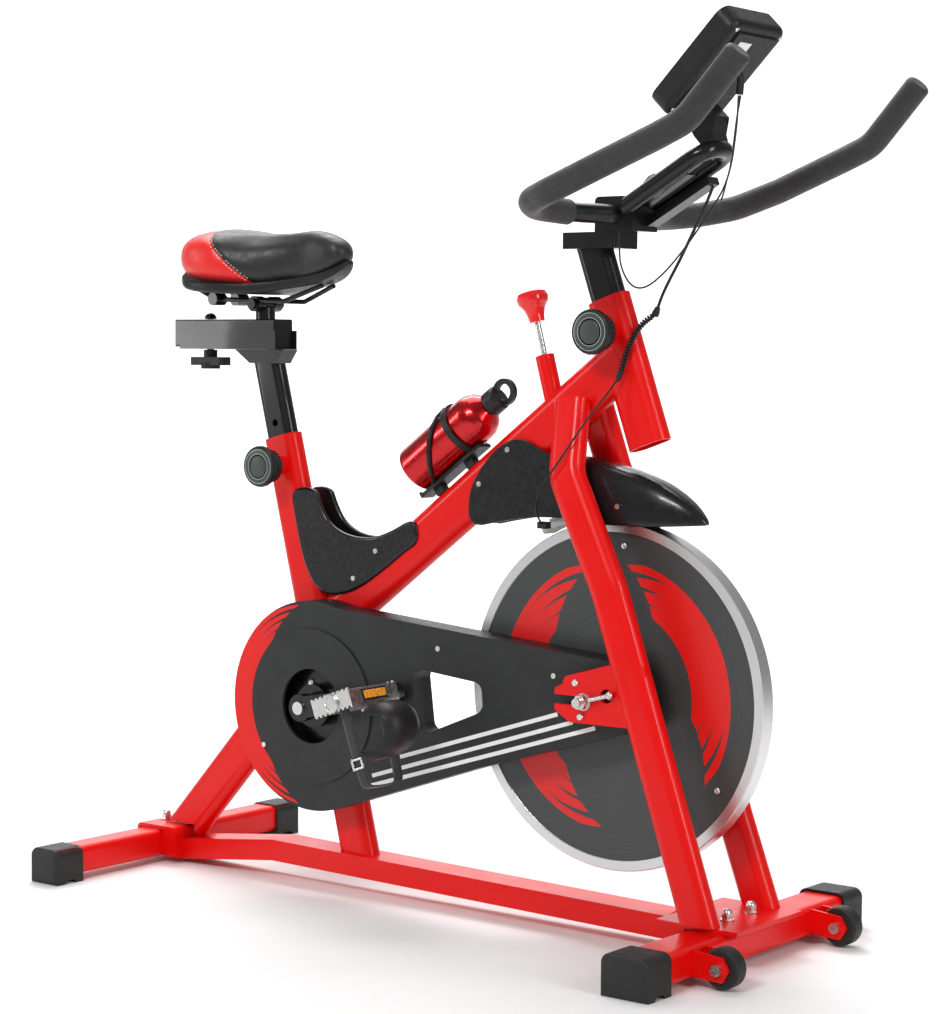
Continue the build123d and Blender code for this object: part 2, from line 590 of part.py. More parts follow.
def clamp_bolt():
    shank = rod((CLAMP_BOLT_X, 0, 746), (CLAMP_BOLT_X, 0, SLIDE_Z1 + 2), 5)
    dome = Pos(CLAMP_BOLT_X, 0, SLIDE_Z1 + 0.6) * Sphere(9) - block(-760, -680, -20, 20, 770, SLIDE_Z1 + 0.6)
    return shank + dome


def seat_slider():
    bar = block(SLIDE_X0, SLIDE_X1, -SLIDE_Y, SLIDE_Y, SLIDE_Z0, SLIDE_Z1)
    bar = fillet(bar.edges().filter_by(Axis.X), 3)
    bar = bar - block(SLIDE_X0 + 4, SLIDE_X1 - 4, -SLIDE_Y + 2, SLIDE_Y - 2, SLIDE_Z0 + 2, SLIDE_Z1 - 2)
    slot = block(CLAMP_BOLT_X - 36, CLAMP_BOLT_X + 46, -5.6, 5.6, SLIDE_Z0 - 1, SLIDE_Z1 + 1)
    pillar = rod((PILLAR_X, 0, SLIDE_Z1 - 2), (PILLAR_X, 0, PIVOT_Z - 5), PILLAR_R)
    pillar = pillar - rod_y(PILLAR_X, PIVOT_Z, -30, 30, 11.6) + rod_y(PILLAR_X, PIVOT_Z, -9, 9, 9.4)
    pillar = pillar + block(PILLAR_X - 6, PILLAR_X + 6, -9, 9, PIVOT_Z - 12, PIVOT_Z - 5)
    return bar - slot + pillar - rod_y(PILLAR_X, PIVOT_Z, -30, 30, 4.06)


def slider_knob():
    x = CLAMP_BOLT_X
    stem = rod((x, 0, 741), (x, 0, 753.6), 10)
    grip = block(x - 34, x + 34, -11, 11, 731, 743)
    grip = fillet(grip.edges().filter_by(Axis.Z), 8)
    crown = rod((x, 0, 726), (x, 0, 734), 14)
    return stem + grip + crown - rod((x, 0, 744), (x, 0, 760), 5.06)


SADDLE = [(-746, 36, 866, 899), (-725, 64, 851, 919), (-690, 86, 842, 926), (-645, 86, 838, 923), (-595, 66, 838, 916),
          (-545, 42, 844, 917), (-500, 33, 852, 921), (-468, 26, 866, 912), (-456, 14, 878, 900)]


def saddle_loft(grow_w, low, high):
    sections = []
    for x, w, z0, z1 in SADDLE:
        z0, z1 = low(z0, z1), high(z0, z1)
        plane = Plane(origin=(x, 0, (z0 + z1) / 2), x_dir=(0, 1, 0), z_dir=(1, 0, 0))
        width, height = 2 * (w + grow_w), z1 - z0
        sections.append(plane * RectangleRounded(width, height, 0.49 * min(width, height) * 0.8))
    return loft(sections)


def saddle_cushion():
    return saddle_loft(0, lambda z0, z1: z0, lambda z0, z1: z1)


def saddle_base():
    pan = saddle_loft(-8, lambda z0, z1: z0 - 5, lambda z0, z1: z0 + 12)
    return pan - saddle_loft(0.3, lambda z0, z1: z0 - 0.1, lambda z0, z1: z1)


def saddle_frame():
    clamp = rod_y(PILLAR_X, PIVOT_Z, -30, 30, 4) + both(rod_y(PILLAR_X, PIVOT_Z, 9.4, 26, 11))
    clamp = clamp + both(rod_y(PILLAR_X, PIVOT_Z, 26, 31, 7.5))
    rails = []
    for side in (-1, 1):
        points = [(-722, side * 36, 845), (-690, side * 22, 826), (-560, side * 22, 822), (-496, side * 12, 844)]
        path = FilletPolyline(*points, radius=14)
        rails.append(sweep(Plane(origin=path @ 0, z_dir=path % 0) * Circle(3.5), path=path))
    frame = clamp + rails[0] + rails[1] + rod_y(-722, 845, -40, 40, 4)
    frame = frame + rod_y(-686, 826, -34, -12, 9) + rod_y(-686, 826, 12, 34, 9)
    return frame - saddle_loft(0, lambda z0, z1: z0 - 6, lambda z0, z1: z1)


def pull_pin(x, z):
    """Spring pin: plunger, ribbed barrel and round face."""
    plunger = rod_y(x, z, -40, -14.2, 5.99)
    barrel = rod_y(x, z, -56, -36, 24)
    face = rod_y(x, z, -PIN_FACE, -54, 29)
    face = fillet(face.edges(), 3)
    return plunger + barrel + face


# ---- Handlebar ------------------------------------------------------------------------------------------
def handlebar_hub():
    return block(-24, 34, -28, 28, HUB_Z0, HUB_Z1)


def handlebar_post():
    low, high = (head_x(700), 700), (head_x(893), 893)
    post = oval_tube(low, high, POST)
    for k in range(4):
        z = PIN_Z["head"] + 25 * k - 50
        post = post - rod_y(head_x(z), z, -40, 0, 5)
    clamp = block(-76, 6, -27, 27, 886, 907)
    clamp = fillet(clamp.edges().filter_by(Axis.Z), 3)
    hub = handlebar_hub()
    hub = fillet(hub.edges().filter_by(Axis.Y).group_by(Axis.Z)[-1], 6)
    return post + (clamp + hub - bar_solid(BAR_R) - loop_solid())


def bar_route():
    right = [(x, -y, z) for x, y, z in BAR_SIDE]
    left = [(x, y, z) for x, y, z in BAR_SIDE]
    return right[::-1] + left


def bar_solid(radius):
    path = FilletPolyline(*bar_route(), radius=bar_corners(bar_route()))
    return sweep(Plane(origin=path @ 0, z_dir=path % 0) * Circle(radius), path=path)


def bar_corners(route):
    return [min(r, 60.0) for r in arc_radii(route)]


STEM = [(136, 1000), (149, 1005), (143, 1024), (147, 1045), (122, 1070), (100, 1048), (116, 1021)]
LOOP = [(22, -29, 936), (144, -29, 1005.5), (144, 29, 1005.5), (22, 29, 936)]


def loop_solid():
    path = FilletPolyline(*LOOP, radius=26)
    return sweep(Plane(origin=path @ 0, z_dir=path % 0) * Circle(LOOP_R), path=path)


def handlebar_bar():
    bar = bar_solid(BAR_R) - bar_solid(BAR_R - 1.8)
    loop = loop_solid() - block(-60, 24, -60, 60, 900, HUB_Z1 + 0.1)
    stem = plate(STEM, -16, 16, 2)
    stem = stem - loop_solid() - console_slab()
    tray = plate([(34.1, 938), (100, 975.5), (98, 978.5), (34.1, 942)], -17.5, 17.5)
    finger = plate([(34.1, 912), (128, 964), (124, 974), (34.1, 926)], 2, 26, 2)
    return bar + loop + stem + (tray - loop_solid()) + (finger - loop_solid())


def grips():
    points = [(x, -y, z) for x, y, z in BAR_SIDE[1:]]
    path = FilletPolyline(*points, radius=bar_corners(points))
    foam = sweep(Plane(origin=path @ 0, z_dir=path % 0) * Circle(FOAM_R), path=path)
    end = Vector(*points[-1]) - Vector(*points[-2])
    cap = rod(points[-1], tuple(Vector(*points[-1]) + end.normalized() * 7), FOAM_R)
    cap = fillet(cap.edges().filter_by(GeomType.CIRCLE).sort_by(Axis.Z)[-1], 6)
    foam = foam - bar_solid(BAR_R) + cap
    return Compound(children=[foam, mirrored(foam)])


# ---- Console --------------------------------------------------------------------------------------------
def console_plane():
    """Local frame of the console: x across the bike, y up its rider face, z out of that face."""
    return Plane(origin=(CONSOLE_LOW[0], 0, CONSOLE_LOW[1]), x_dir=(0, -1, 0), z_dir=(-1, 0, 1))


def on_console(shape):
    return console_plane().location * shape


def console_slab():
    slab = Pos(0, CONSOLE_LEN / 2, -CONSOLE_T / 2) * Box(2 * CONSOLE_HALF_W, CONSOLE_LEN, CONSOLE_T)
    slab = fillet(slab.edges().filter_by(Axis.Z), 16)
    return on_console(fillet(slab.edges().group_by(Axis.Z)[0], 9))


def console_split(z_low, z_high):
    return on_console(Pos(0, CONSOLE_LEN / 2, (z_low + z_high) / 2) * Box(300, 300, z_high - z_low))


def console_hollow():
    inner = Pos(0, CONSOLE_LEN / 2, -CONSOLE_T / 2) * Box(2 * CONSOLE_HALF_W - 5, CONSOLE_LEN - 5, CONSOLE_T - 5)
    return on_console(fillet(inner.edges().filter_by(Axis.Z), 13.5))


WINDOW_BOX = (Pos(0, 78, -1.5) * Box(84, 62, 6))
BUTTON_Y = 24.0


def console_front():
    shell = (console_slab() & console_split(-10, 10)) - console_hollow()
    return shell - on_console(WINDOW_BOX) - on_console(Pos(0, BUTTON_Y, 0) * Cylinder(9.3, 12))


def console_back():
    shell = (console_slab() & console_split(-60, -10.1)) - console_hollow()
    posts = Part()
    for x in (-40, 40):
        for y in (28, 104):
            posts = posts + Pos(x, y, -21.2) * Cylinder(3, 16.6)
    return shell + on_console(posts) - on_console(Pos(0, 87, -CONSOLE_T) * Cylinder(3.6, 12))


def console_lens():
    return on_console(Pos(0, 78, -1.4) * Box(83.4, 61.4, 2.2))


def console_board():
    board = Pos(0, 66, -12) * Box(104, 104, 1.6)
    display = Pos(0, 78, -7.2) * Box(76, 54, 7)
    return on_console(board + display)


def console_button():
    return on_console(Pos(0, BUTTON_Y, -1.2) * Cylinder(8.9, 6.4))


# ---- Cords ----------------------------------------------------------------------------------------------
SENSOR_CORD = [(126, 14, 962), (118, 10, 938), (104, 4, 906), (88, 2, 874), (72, 0, 846), (60, -2, 822),
               (55.6, -3.8, 805.6)]
CURLY_CORD = [(53.8, -4.6, 802.2), (42, -10, 795), (30, -18, 775), (22, -24, 750), (14, -25, 724)]
SENSOR_WIRE = [(14, -25, 724), (2, -30, 704), (-14, -44, 678), (-28, -60, 648), (-46, -70, 616), (-66, -76, 588),
               (-84, -68, 562), (-96, -48, 543), (-99, -34.2, 533)]
PULSE_LEFT = [(171.6, 1.5, 1069.4), (160, 13, 1048), (144, 34, 1028), (122, 64, 1007), (98, 97, 989), (72, 130, 974.5),
              (48, 163, 964.5), (24.9, 193.4, 957)]
PULSE_RIGHT = [(171.6, -3.4, 1069.4), (172.5, -6, 1045), (172, -10, 1017), (170, -14, 986.7), (163, -18, 958),
               (150, -21, 936), (132, -23, 911), (110, -24, 884), (82, -24, 855), (52, -24, 834), (30, -25, 837),
               (15, -26, 862), (13, -26, 885), (12, -26, 906.9)]


def console_plug():
    """Right-angled plug on the console's back."""
    path = FilletPolyline((160.05, -1, 1104.7), (173.5, -1, 1091.2), (171.6, -1, 1070.5), radius=8)
    return sweep(Plane(origin=path @ 0, z_dir=path % 0) * Circle(4.6), path=path)


# ---- Bottle ---------------------------------------------------------------------------------------------
def bottle_plane():
    """Local frame of the bottle: z along its axis, x away from the main tube, origin at the bottle's base."""
    along = Vector(BOTTLE_DIR[0], 0, BOTTLE_DIR[1])
    return Plane(origin=(BOTTLE_BASE[0], 0, BOTTLE_BASE[1]), x_dir=(-along.Z, 0, along.X), z_dir=along)


def turned(profile):
    face = make_face(Polyline(*[(r, 0, h) for r, h in profile], close=True))
    return bottle_plane().location * revolve(face, Axis.Z)


def bottle():
    return turned([(0, 0), (30, 0), (33.4, 3), (BOTTLE_R, 8), (BOTTLE_R, 122), (32.5, 132), (27, 142), (18, 150),
                   (13.5, 154), (13.5, 166), (11.5, 166), (11.5, 152.4), (16.6, 148), (25.6, 140), (30.6, 131),
                   (32.2, 121), (32.2, 9), (29, 2), (0, 2)])


def bottle_cap():
    skirt = turned([(13.8, 155), (17.5, 155), (17.5, 172), (15, 174), (0, 174), (0, 166.4), (13.8, 166.4)])
    ring = Pos(0, 0, 184) * Rot(90, 0, 0) * (Cylinder(18, 7) - Cylinder(11, 9))
    ring = ring - Pos(0, 0, 164) * Box(60, 60, 18.5)
    return skirt + (bottle_plane().location * ring - turned([(0, 100), (30, 100), (30, 173), (0, 173)]))


def bottle_cage():
    gap = BOTTLE_R + 0.8
    spine = Pos(-gap - 3, 0, 54) * Box(5, 26, 122)
    hook = Pos(-14, 0, -5) * Box(42, 26, 4) - Pos(20, 0, -5) * Box(40, 60, 10)
    ring = Pos(0, 0, 99) * (Cylinder(gap + 3.2, 9) - Cylinder(gap, 12))
    arms = []
    for side in (-1, 1):
        for k in range(8):
            a0, a1 = math.radians(180 - side * 20 * k), math.radians(180 - side * 20 * (k + 1))
            z0, z1 = 12 + 10.6 * k, 12 + 10.6 * (k + 1)
            r = gap + 1.7
            start, end = (r * math.cos(a0), r * math.sin(a0), z0), (r * math.cos(a1), r * math.sin(a1), z1)
            arms.append(rod(start, end, 3.1))
    cage = spine + hook + ring
    for arm in arms:
        cage = cage + arm
    cage = cage - Cylinder(gap, 400)
    feet = Pos(-gap - 9.5, 0, 20) * Box(14, 14, 14) + Pos(-gap - 9.5, 0, 84) * Box(14, 14, 14)
    return bottle_plane().location * (cage + feet) - MAIN_OUT


# ---- Export ---------------------------------------------------------------------------------------------
NODES = {
    "main_tube": main_tube, "seat_tube": seat_tube, "head_tube": head_tube, "base_tube": base_tube,
    "rear_strut": rear_strut, "fork_legs": fork_legs, "front_stabilizer": front_stabilizer,
    "rear_stabilizer": rear_stabilizer, "stabilizer_caps": stabilizer_caps, "frame_bolts": frame_bolts,
    "gusset_covers": gusset_covers, "fender": fender, "guard_outer": guard_outer, "guard_inner": guard_inner,
    "cover_screws": cover_screws, "bearings": bearings, "flywheel_axle": flywheel_axle,
    "axle_hardware": axle_hardware, "bottle_cage": bottle_cage, "speed_sensor": speed_sensor,
    "drive_belt": drive_belt, "flywheel": flywheel, "flywheel_pulley": flywheel_pulley,
    "crank_spindle": crank_spindle, "crank_pulley": crank_pulley, "crank_arms": crank_arms,
    "pedal_spindles": pedal_spindles, "pedal_right": pedal, "pedal_left": lambda: opposite(pedal()),
    "toe_cage_right": toe_cage, "toe_cage_left": lambda: opposite(toe_cage()), "seat_post": seat_post,
    "seat_slider": seat_slider, "slider_knob": slider_knob, "saddle_cushion": saddle_cushion,
    "saddle_base": saddle_base, "saddle_frame": saddle_frame,
    "seat_pin": lambda: pull_pin(seat_x(PIN_Z["seat"]), PIN_Z["seat"]),
    "head_pin": lambda: pull_pin(head_x(PIN_Z["head"]), PIN_Z["head"]),
    "brake_rod": brake_rod, "brake_knob": brake_knob, "brake_pad": brake_pad,
    "handlebar_post": handlebar_post, "handlebar_bar": handlebar_bar, "grips": grips,
    "console_front": console_front, "console_back": console_back, "console_lens": console_lens,
    "console_board": console_board, "console_button": console_button, "console_plug": console_plug,
    "sensor_cord": lambda: cord(SENSOR_CORD, 4.0, "sensor_cord"),
    "curly_cord": lambda: cord(CURLY_CORD, 9.0, "curly_cord"),
    "sensor_wire": lambda: cord(SENSOR_WIRE, 2.6, "sensor_wire"),
    "pulse_wire_left": lambda: cord(PULSE_LEFT, 2.4, "pulse_wire_left"),
    "pulse_wire_right": lambda: cord(PULSE_RIGHT, 2.4, "pulse_wire_right"),
    "roller_left": lambda: roller(1), "roller_right": lambda: roller(-1), "bottle": bottle,
    "bottle_cap": bottle_cap,
}

for node, make in NODES.items():
    save(make(), node)
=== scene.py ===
import math

import bmesh
import bpy
from mathutils import Matrix, Vector
from mathutils.bvhtree import BVHTree


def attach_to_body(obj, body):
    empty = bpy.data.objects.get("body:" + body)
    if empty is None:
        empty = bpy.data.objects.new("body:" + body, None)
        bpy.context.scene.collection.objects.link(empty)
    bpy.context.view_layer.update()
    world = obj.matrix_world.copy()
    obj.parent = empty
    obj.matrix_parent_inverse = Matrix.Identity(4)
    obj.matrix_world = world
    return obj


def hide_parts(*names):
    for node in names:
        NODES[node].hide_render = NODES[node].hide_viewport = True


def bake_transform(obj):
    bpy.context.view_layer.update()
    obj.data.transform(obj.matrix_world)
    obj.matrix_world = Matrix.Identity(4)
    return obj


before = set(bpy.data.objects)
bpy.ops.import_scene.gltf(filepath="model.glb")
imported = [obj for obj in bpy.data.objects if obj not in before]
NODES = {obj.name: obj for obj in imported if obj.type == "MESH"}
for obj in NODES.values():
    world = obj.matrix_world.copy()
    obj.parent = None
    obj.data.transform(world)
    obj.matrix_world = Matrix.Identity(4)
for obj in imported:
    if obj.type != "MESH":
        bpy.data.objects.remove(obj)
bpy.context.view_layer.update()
SCENE = bpy.context.scene
SCENE.view_settings.view_transform = "Standard"

# The bike is drawn with the flywheel axle at x = 0, in millimetres, as in the CAD source; mm() gives the
# row frame's place in metres.
SHIFT_X = 257.0
AXLE_Z = 314.0
BB = (-474.0, 262.0)
PEDAL = (BB[0] + 165 * math.cos(math.radians(12)), BB[1] + 165 * math.sin(math.radians(12)))
PEDAL_L = (2 * BB[0] - PEDAL[0], 2 * BB[1] - PEDAL[1])
PEDAL_TILT = math.radians(20)


def mm(x, y, z):
    return Vector(((x + SHIFT_X) / 1000, y / 1000, z / 1000))


# ---- Camera ---------------------------------------------------------------------------------------------
def make_camera():
    azimuth, pitch, roll = math.radians(37.831), math.radians(3.668), math.radians(0.403)
    look = Vector((-math.sin(azimuth) * math.cos(pitch), math.cos(azimuth) * math.cos(pitch), -math.sin(pitch)))
    right = Vector((math.cos(azimuth), math.sin(azimuth), 0))
    up = right.cross(look)
    right, up = right * math.cos(roll) + up * math.sin(roll), up * math.cos(roll) - right * math.sin(roll)
    data = bpy.data.cameras.new("camera")
    data.lens, data.sensor_width = 88.35, 36.0
    data.clip_start, data.clip_end = 0.05, 60
    cam = bpy.data.objects.new("camera", data)
    turn = Matrix((right, up, -look)).transposed().to_4x4()
    cam.matrix_world = Matrix.Translation((2.05773, -2.62494, 0.7594)) @ turn
    SCENE.collection.objects.link(cam)
    SCENE.camera = cam


make_camera()


# ---- Mesh helpers ---------------------------------------------------------------------------------------
def put(obj):
    SCENE.collection.objects.link(obj)
    return obj


def mesh_object(name, bm, material=None, smooth=True, sharp=35):
    data = bpy.data.meshes.new(name)
    bmesh.ops.recalc_face_normals(bm, faces=bm.faces)
    bm.to_mesh(data)
    bm.free()
    obj = put(bpy.data.objects.new(name, data))
    if material:
        data.materials.append(material)
    if smooth:
        data.shade_smooth()
        data.set_sharp_from_angle(angle=math.radians(sharp))
    return obj


def modify(obj, kind, **settings):
    m = obj.modifiers.new(kind.lower(), kind)
    for k, v in settings.items():
        setattr(m, k, v)
    return m


def bevel(obj, width, segments=3, angle=30):
    """Rounded edges, with normals weighted so that the flats stay flat."""
    modify(obj, "BEVEL", width=width / 1000, segments=segments, limit_method="ANGLE",
           angle_limit=math.radians(angle), harden_normals=False)
    modify(obj, "WEIGHTED_NORMAL", keep_sharp=True, weight=60)
    return obj


def smooth_node(name, material, angle=32):
    """Shades a CAD node smoothly across its seams and gives it a material."""
    obj = NODES[name]
    obj.data.materials.clear()
    obj.data.materials.append(material)
    obj.data.shade_smooth()
    modify(obj, "WELD", merge_threshold=2e-5)
    modify(obj, "EDGE_SPLIT", split_angle=math.radians(angle), use_edge_sharp=False)
    modify(obj, "WEIGHTED_NORMAL", keep_sharp=True, weight=80)
    return obj


# ---- Cords ----------------------------------------------------------------------------------------------
SENSOR_CORD = [(126, 14, 962), (118, 10, 938), (104, 4, 906), (88, 2, 874), (72, 0, 846), (60, -2, 822),
               (55.6, -3.8, 805.6)]
CURLY_CORD = [(53.8, -4.6, 802.2), (42, -10, 795), (30, -18, 775), (22, -24, 750), (14, -25, 724)]
SENSOR_WIRE = [(14, -25, 724), (2, -30, 704), (-14, -44, 678), (-28, -60, 648), (-46, -70, 616), (-66, -76, 588),
               (-84, -68, 562), (-96, -48, 543), (-99, -34.2, 533)]
PULSE_LEFT = [(171.6, 1.5, 1069.4), (160, 13, 1048), (144, 34, 1028), (122, 64, 1007), (98, 97, 989),
              (72, 130, 974.5), (48, 163, 964.5), (24.9, 193.4, 957)]
PULSE_RIGHT = [(171.6, -3.4, 1069.4), (172.5, -6, 1045), (172, -10, 1017), (170, -14, 986.7), (163, -18, 958),
               (150, -21, 936), (132, -23, 911), (110, -24, 884), (82, -24, 855), (52, -24, 834), (30, -25, 837),
               (15, -26, 862), (13, -26, 885), (12, -26, 906.9)]


def spline(name, points, diameter, resolution=10):
    data = bpy.data.curves.new(name, "CURVE")
    data.dimensions = "3D"
    line = data.splines.new("NURBS")
    line.points.add(len(points) - 1)
    for p, place in zip(line.points, points):
        p.co = (*mm(*place), 1)
    line.order_u = 3
    line.use_endpoint_u = True
    line.resolution_u = resolution
    data.bevel_depth = diameter / 2000
    data.bevel_resolution = 4
    data.use_fill_caps = True
    return put(bpy.data.objects.new(name, data))


def line_of(points, resolution=12):
    """Points along the route's smooth line, in metres."""
    probe = spline("probe", points, 0, resolution)
    bpy.context.view_layer.update()
    mesh = bpy.data.meshes.new_from_object(probe)
    found = [v.co.copy() for v in mesh.vertices]
    bpy.data.objects.remove(probe)
    bpy.data.meshes.remove(mesh)
    return found


def length_of(line):
    return sum((b - a).length for a, b in zip(line, line[1:]))


def tube_along(name, line, radius, sides=10, material=None):
    """Mesh tube along points in metres; its radius is in millimetres."""
    bm = bmesh.new()
    tangent = (line[1] - line[0]).normalized()
    side = tangent.orthogonal().normalized()
    rings = []
    for i, p in enumerate(line):
        ahead = line[min(i + 1, len(line) - 1)] - line[max(i - 1, 0)]
        turn = tangent.rotation_difference(ahead.normalized())
        side = (turn @ side).normalized()
        tangent = ahead.normalized()
        other = tangent.cross(side)
        rings.append([bm.verts.new(p + (side * math.cos(a) + other * math.sin(a)) * radius / 1000)
                      for a in (2 * math.pi * k / sides for k in range(sides))])
    for a, b in zip(rings, rings[1:]):
        for k in range(sides):
            bm.faces.new((a[k], a[(k + 1) % sides], b[(k + 1) % sides], b[k]))
    bm.faces.new(rings[0][::-1])
    bm.faces.new(rings[-1])
    return mesh_object(name, bm, material, sharp=50)


def free_cord(name, node, points, diameter, body):
    obj = spline(name, points, diameter)
    obj.data.materials.append(CORD_BLACK)
    length = length_of(line_of(points))
    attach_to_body(obj, body)
    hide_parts(node)
    return obj


# ---- Materials ------------------------------------------------------------------------------------------
class Shader:
    """A node material: a principled shader with colour masks, roughness and bump built on object coordinates."""

    def __init__(self, name, color, rough, metal=0.0, coat=0.0, sheen=0.0, coat_rough=0.04, spec=0.5):
        self.material = bpy.data.materials.new(name)
        self.material.use_nodes = True
        self.tree = self.material.node_tree
        self.out = self.tree.nodes["Principled BSDF"]
        for socket, value in (("Base Color", (*color, 1)), ("Roughness", rough), ("Metallic", metal),
                              ("Coat Weight", coat), ("Coat Roughness", coat_rough), ("Sheen Weight", sheen),
                              ("Specular IOR Level", spec)):
            self.out.inputs[socket].default_value = value
        self.place = self.tree.nodes.new("ShaderNodeTexCoord").outputs["Object"]
        self.color = (*color, 1)
        self.normal = None

    def feed(self, socket, value):
        if isinstance(value, bpy.types.NodeSocket):
            self.tree.links.new(value, socket)
        else:
            socket.default_value = value

    def math(self, operation, a, b=0.0, c=0.0):
        n = self.tree.nodes.new("ShaderNodeMath")
        n.operation = operation
        for socket, value in zip(n.inputs, (a, b, c)):
            self.feed(socket, value)
        return n.outputs[0]

    def axes(self):
        n = self.tree.nodes.new("ShaderNodeSeparateXYZ")
        self.feed(n.inputs[0], self.place)
        return n.outputs

    def stretched(self, scale):
        n = self.tree.nodes.new("ShaderNodeMapping")
        self.feed(n.inputs["Vector"], self.place)
        n.inputs["Scale"].default_value = scale
        return n.outputs[0]

    def noise(self, scale, detail=3.0, stretch=None):
        n = self.tree.nodes.new("ShaderNodeTexNoise")
        self.feed(n.inputs["Vector"], self.stretched(stretch) if stretch else self.place)
        n.inputs["Scale"].default_value = scale
        n.inputs["Detail"].default_value = detail
        return n.outputs["Fac"]

    def cells(self, scale, feature="F1", stretch=None):
        n = self.tree.nodes.new("ShaderNodeTexVoronoi")
        n.feature = feature
        self.feed(n.inputs["Vector"], self.stretched(stretch) if stretch else self.place)
        n.inputs["Scale"].default_value = scale
        return n.outputs["Distance"]

    def spread(self, value, lo, hi, start=0.3, end=0.7):
        n = self.tree.nodes.new("ShaderNodeMapRange")
        for socket, v in zip(n.inputs, (value, start, end, lo, hi)):
            self.feed(socket, v)
        return n.outputs[0]

    def tint(self, mask, color):
        """Where mask is 1 the colour becomes this one."""
        n = self.tree.nodes.new("ShaderNodeMix")
        n.data_type = "RGBA"
        self.feed(n.inputs[0], mask)
        self.feed(n.inputs[6], self.color)
        self.feed(n.inputs[7], (*color, 1) if isinstance(color, tuple) else color)
        self.color = n.outputs[2]
        self.feed(self.out.inputs["Base Color"], self.color)
        return self

    def rough(self, value):
        self.feed(self.out.inputs["Roughness"], value)
        return self

    def metal(self, value):
        self.feed(self.out.inputs["Metallic"], value)
        return self

    def bump(self, height, strength, depth):
        n = self.tree.nodes.new("ShaderNodeBump")
        n.inputs["Strength"].default_value = strength
        n.inputs["Distance"].default_value = depth
        self.feed(n.inputs["Height"], height)
        if self.normal:
            self.feed(n.inputs["Normal"], self.normal)
        self.normal = n.outputs[0]
        self.feed(self.out.inputs["Normal"], self.normal)
        return self


def paint(name, color, dark, rough, coat, peel=0.06):
    """Enamel: slight colour drift, orange peel and dust in the gloss."""
    s = Shader(name, color, rough, coat=coat, spec=0.25)
    s.tint(s.spread(s.noise(5, 2), 0.0, 0.35), dark)
    s.rough(s.spread(s.noise(18, 3), rough - 0.03, rough + 0.05))
    s.bump(s.noise(260, 2), peel, 0.0003)
    return s


def plastic(name, color, rough, grain, strength, coat=0.0):
    """Moulded plastic with a fine leather-like grain."""
    s = Shader(name, color, rough, coat=coat, spec=0.32)
    s.tint(s.spread(s.noise(30, 5), 0.0, 0.5), tuple(c * 1.5 + 0.002 for c in color))
    s.rough(s.spread(s.noise(150, 3), rough - 0.06, rough + 0.08))
    s.bump(s.cells(grain), strength, 0.0003)
    return s


def steel(name, color, rough, stretch=(1, 1, 1)):
    s = Shader(name, color, rough, metal=1.0)
    s.tint(s.spread(s.noise(45, 4), 0.0, 0.4), tuple(c * 0.72 for c in color))
    s.rough(s.spread(s.noise(380, 4, stretch), rough - 0.08, rough + 0.12))
    s.bump(s.noise(900, 3, stretch), 0.08, 0.0002)
    return s


RED_PAINT = paint("red_paint", (0.80, 0.002, 0.001), (0.66, 0.002, 0.001), 0.34, 0.12).material
BLACK_PAINT = paint("black_paint", (0.006, 0.006, 0.007), (0.012, 0.012, 0.013), 0.28, 0.3).material
BLACK_PLASTIC = plastic("black_plastic", (0.011, 0.011, 0.012), 0.42, 1500, 0.16).material
GLOSS_BLACK = plastic("gloss_black", (0.008, 0.008, 0.009), 0.27, 1300, 0.02, 0.25).material
CAP_RUBBER = plastic("cap_plastic", (0.016, 0.017, 0.016), 0.5, 900, 0.22).material
ZINC = steel("zinc_steel", (0.72, 0.72, 0.70), 0.26).material
CORD_BLACK = plastic("cord_rubber", (0.012, 0.012, 0.012), 0.45, 2500, 0.08).material
BELT_RUBBER = plastic("belt_rubber", (0.02, 0.02, 0.02), 0.7, 1800, 0.3).material
TYRE = plastic("roller_tyre", (0.014, 0.014, 0.014), 0.52, 1100, 0.25).material
RED_PLASTIC = plastic("red_plastic", (0.72, 0.008, 0.01), 0.22, 700, 0.03, 0.6).material


def felt_material():
    s = Shader("felt", (0.55, 0.54, 0.51), 0.95, sheen=0.5)
    s.tint(s.spread(s.noise(260, 6), 0.0, 0.7), (0.36, 0.35, 0.33))
    s.bump(s.noise(900, 6, (1, 1, 3)), 0.7, 0.0012)
    return s.material


def foam_material():
    s = Shader("foam", (0.014, 0.014, 0.015), 0.62, sheen=0.15)
    s.tint(s.spread(s.noise(40, 4), 0.0, 0.6), (0.024, 0.024, 0.025))
    s.rough(s.spread(s.noise(200, 3), 0.52, 0.72))
    s.bump(s.noise(1500, 4), 0.35, 0.0006)
    return s.material


def aluminium_material():
    s = Shader("aluminium", (0.66, 0.66, 0.65), 0.34, metal=1.0)
    s.tint(s.spread(s.noise(70, 5), 0.0, 0.5), (0.55, 0.55, 0.55))
    s.rough(s.spread(s.noise(260, 4), 0.22, 0.45))
    s.bump(s.noise(650, 5), 0.25, 0.0004)
    return s.material


def bottle_material():
    s = Shader("bottle_red", (0.62, 0.004, 0.008), 0.24, metal=0.85, coat=0.5)
    s.tint(s.spread(s.noise(1600, 2), 0.0, 0.6), (0.38, 0.002, 0.006))
    s.rough(s.spread(s.noise(90, 4), 0.18, 0.32))
    s.bump(s.noise(1400, 2), 0.05, 0.0002)
    return s.material


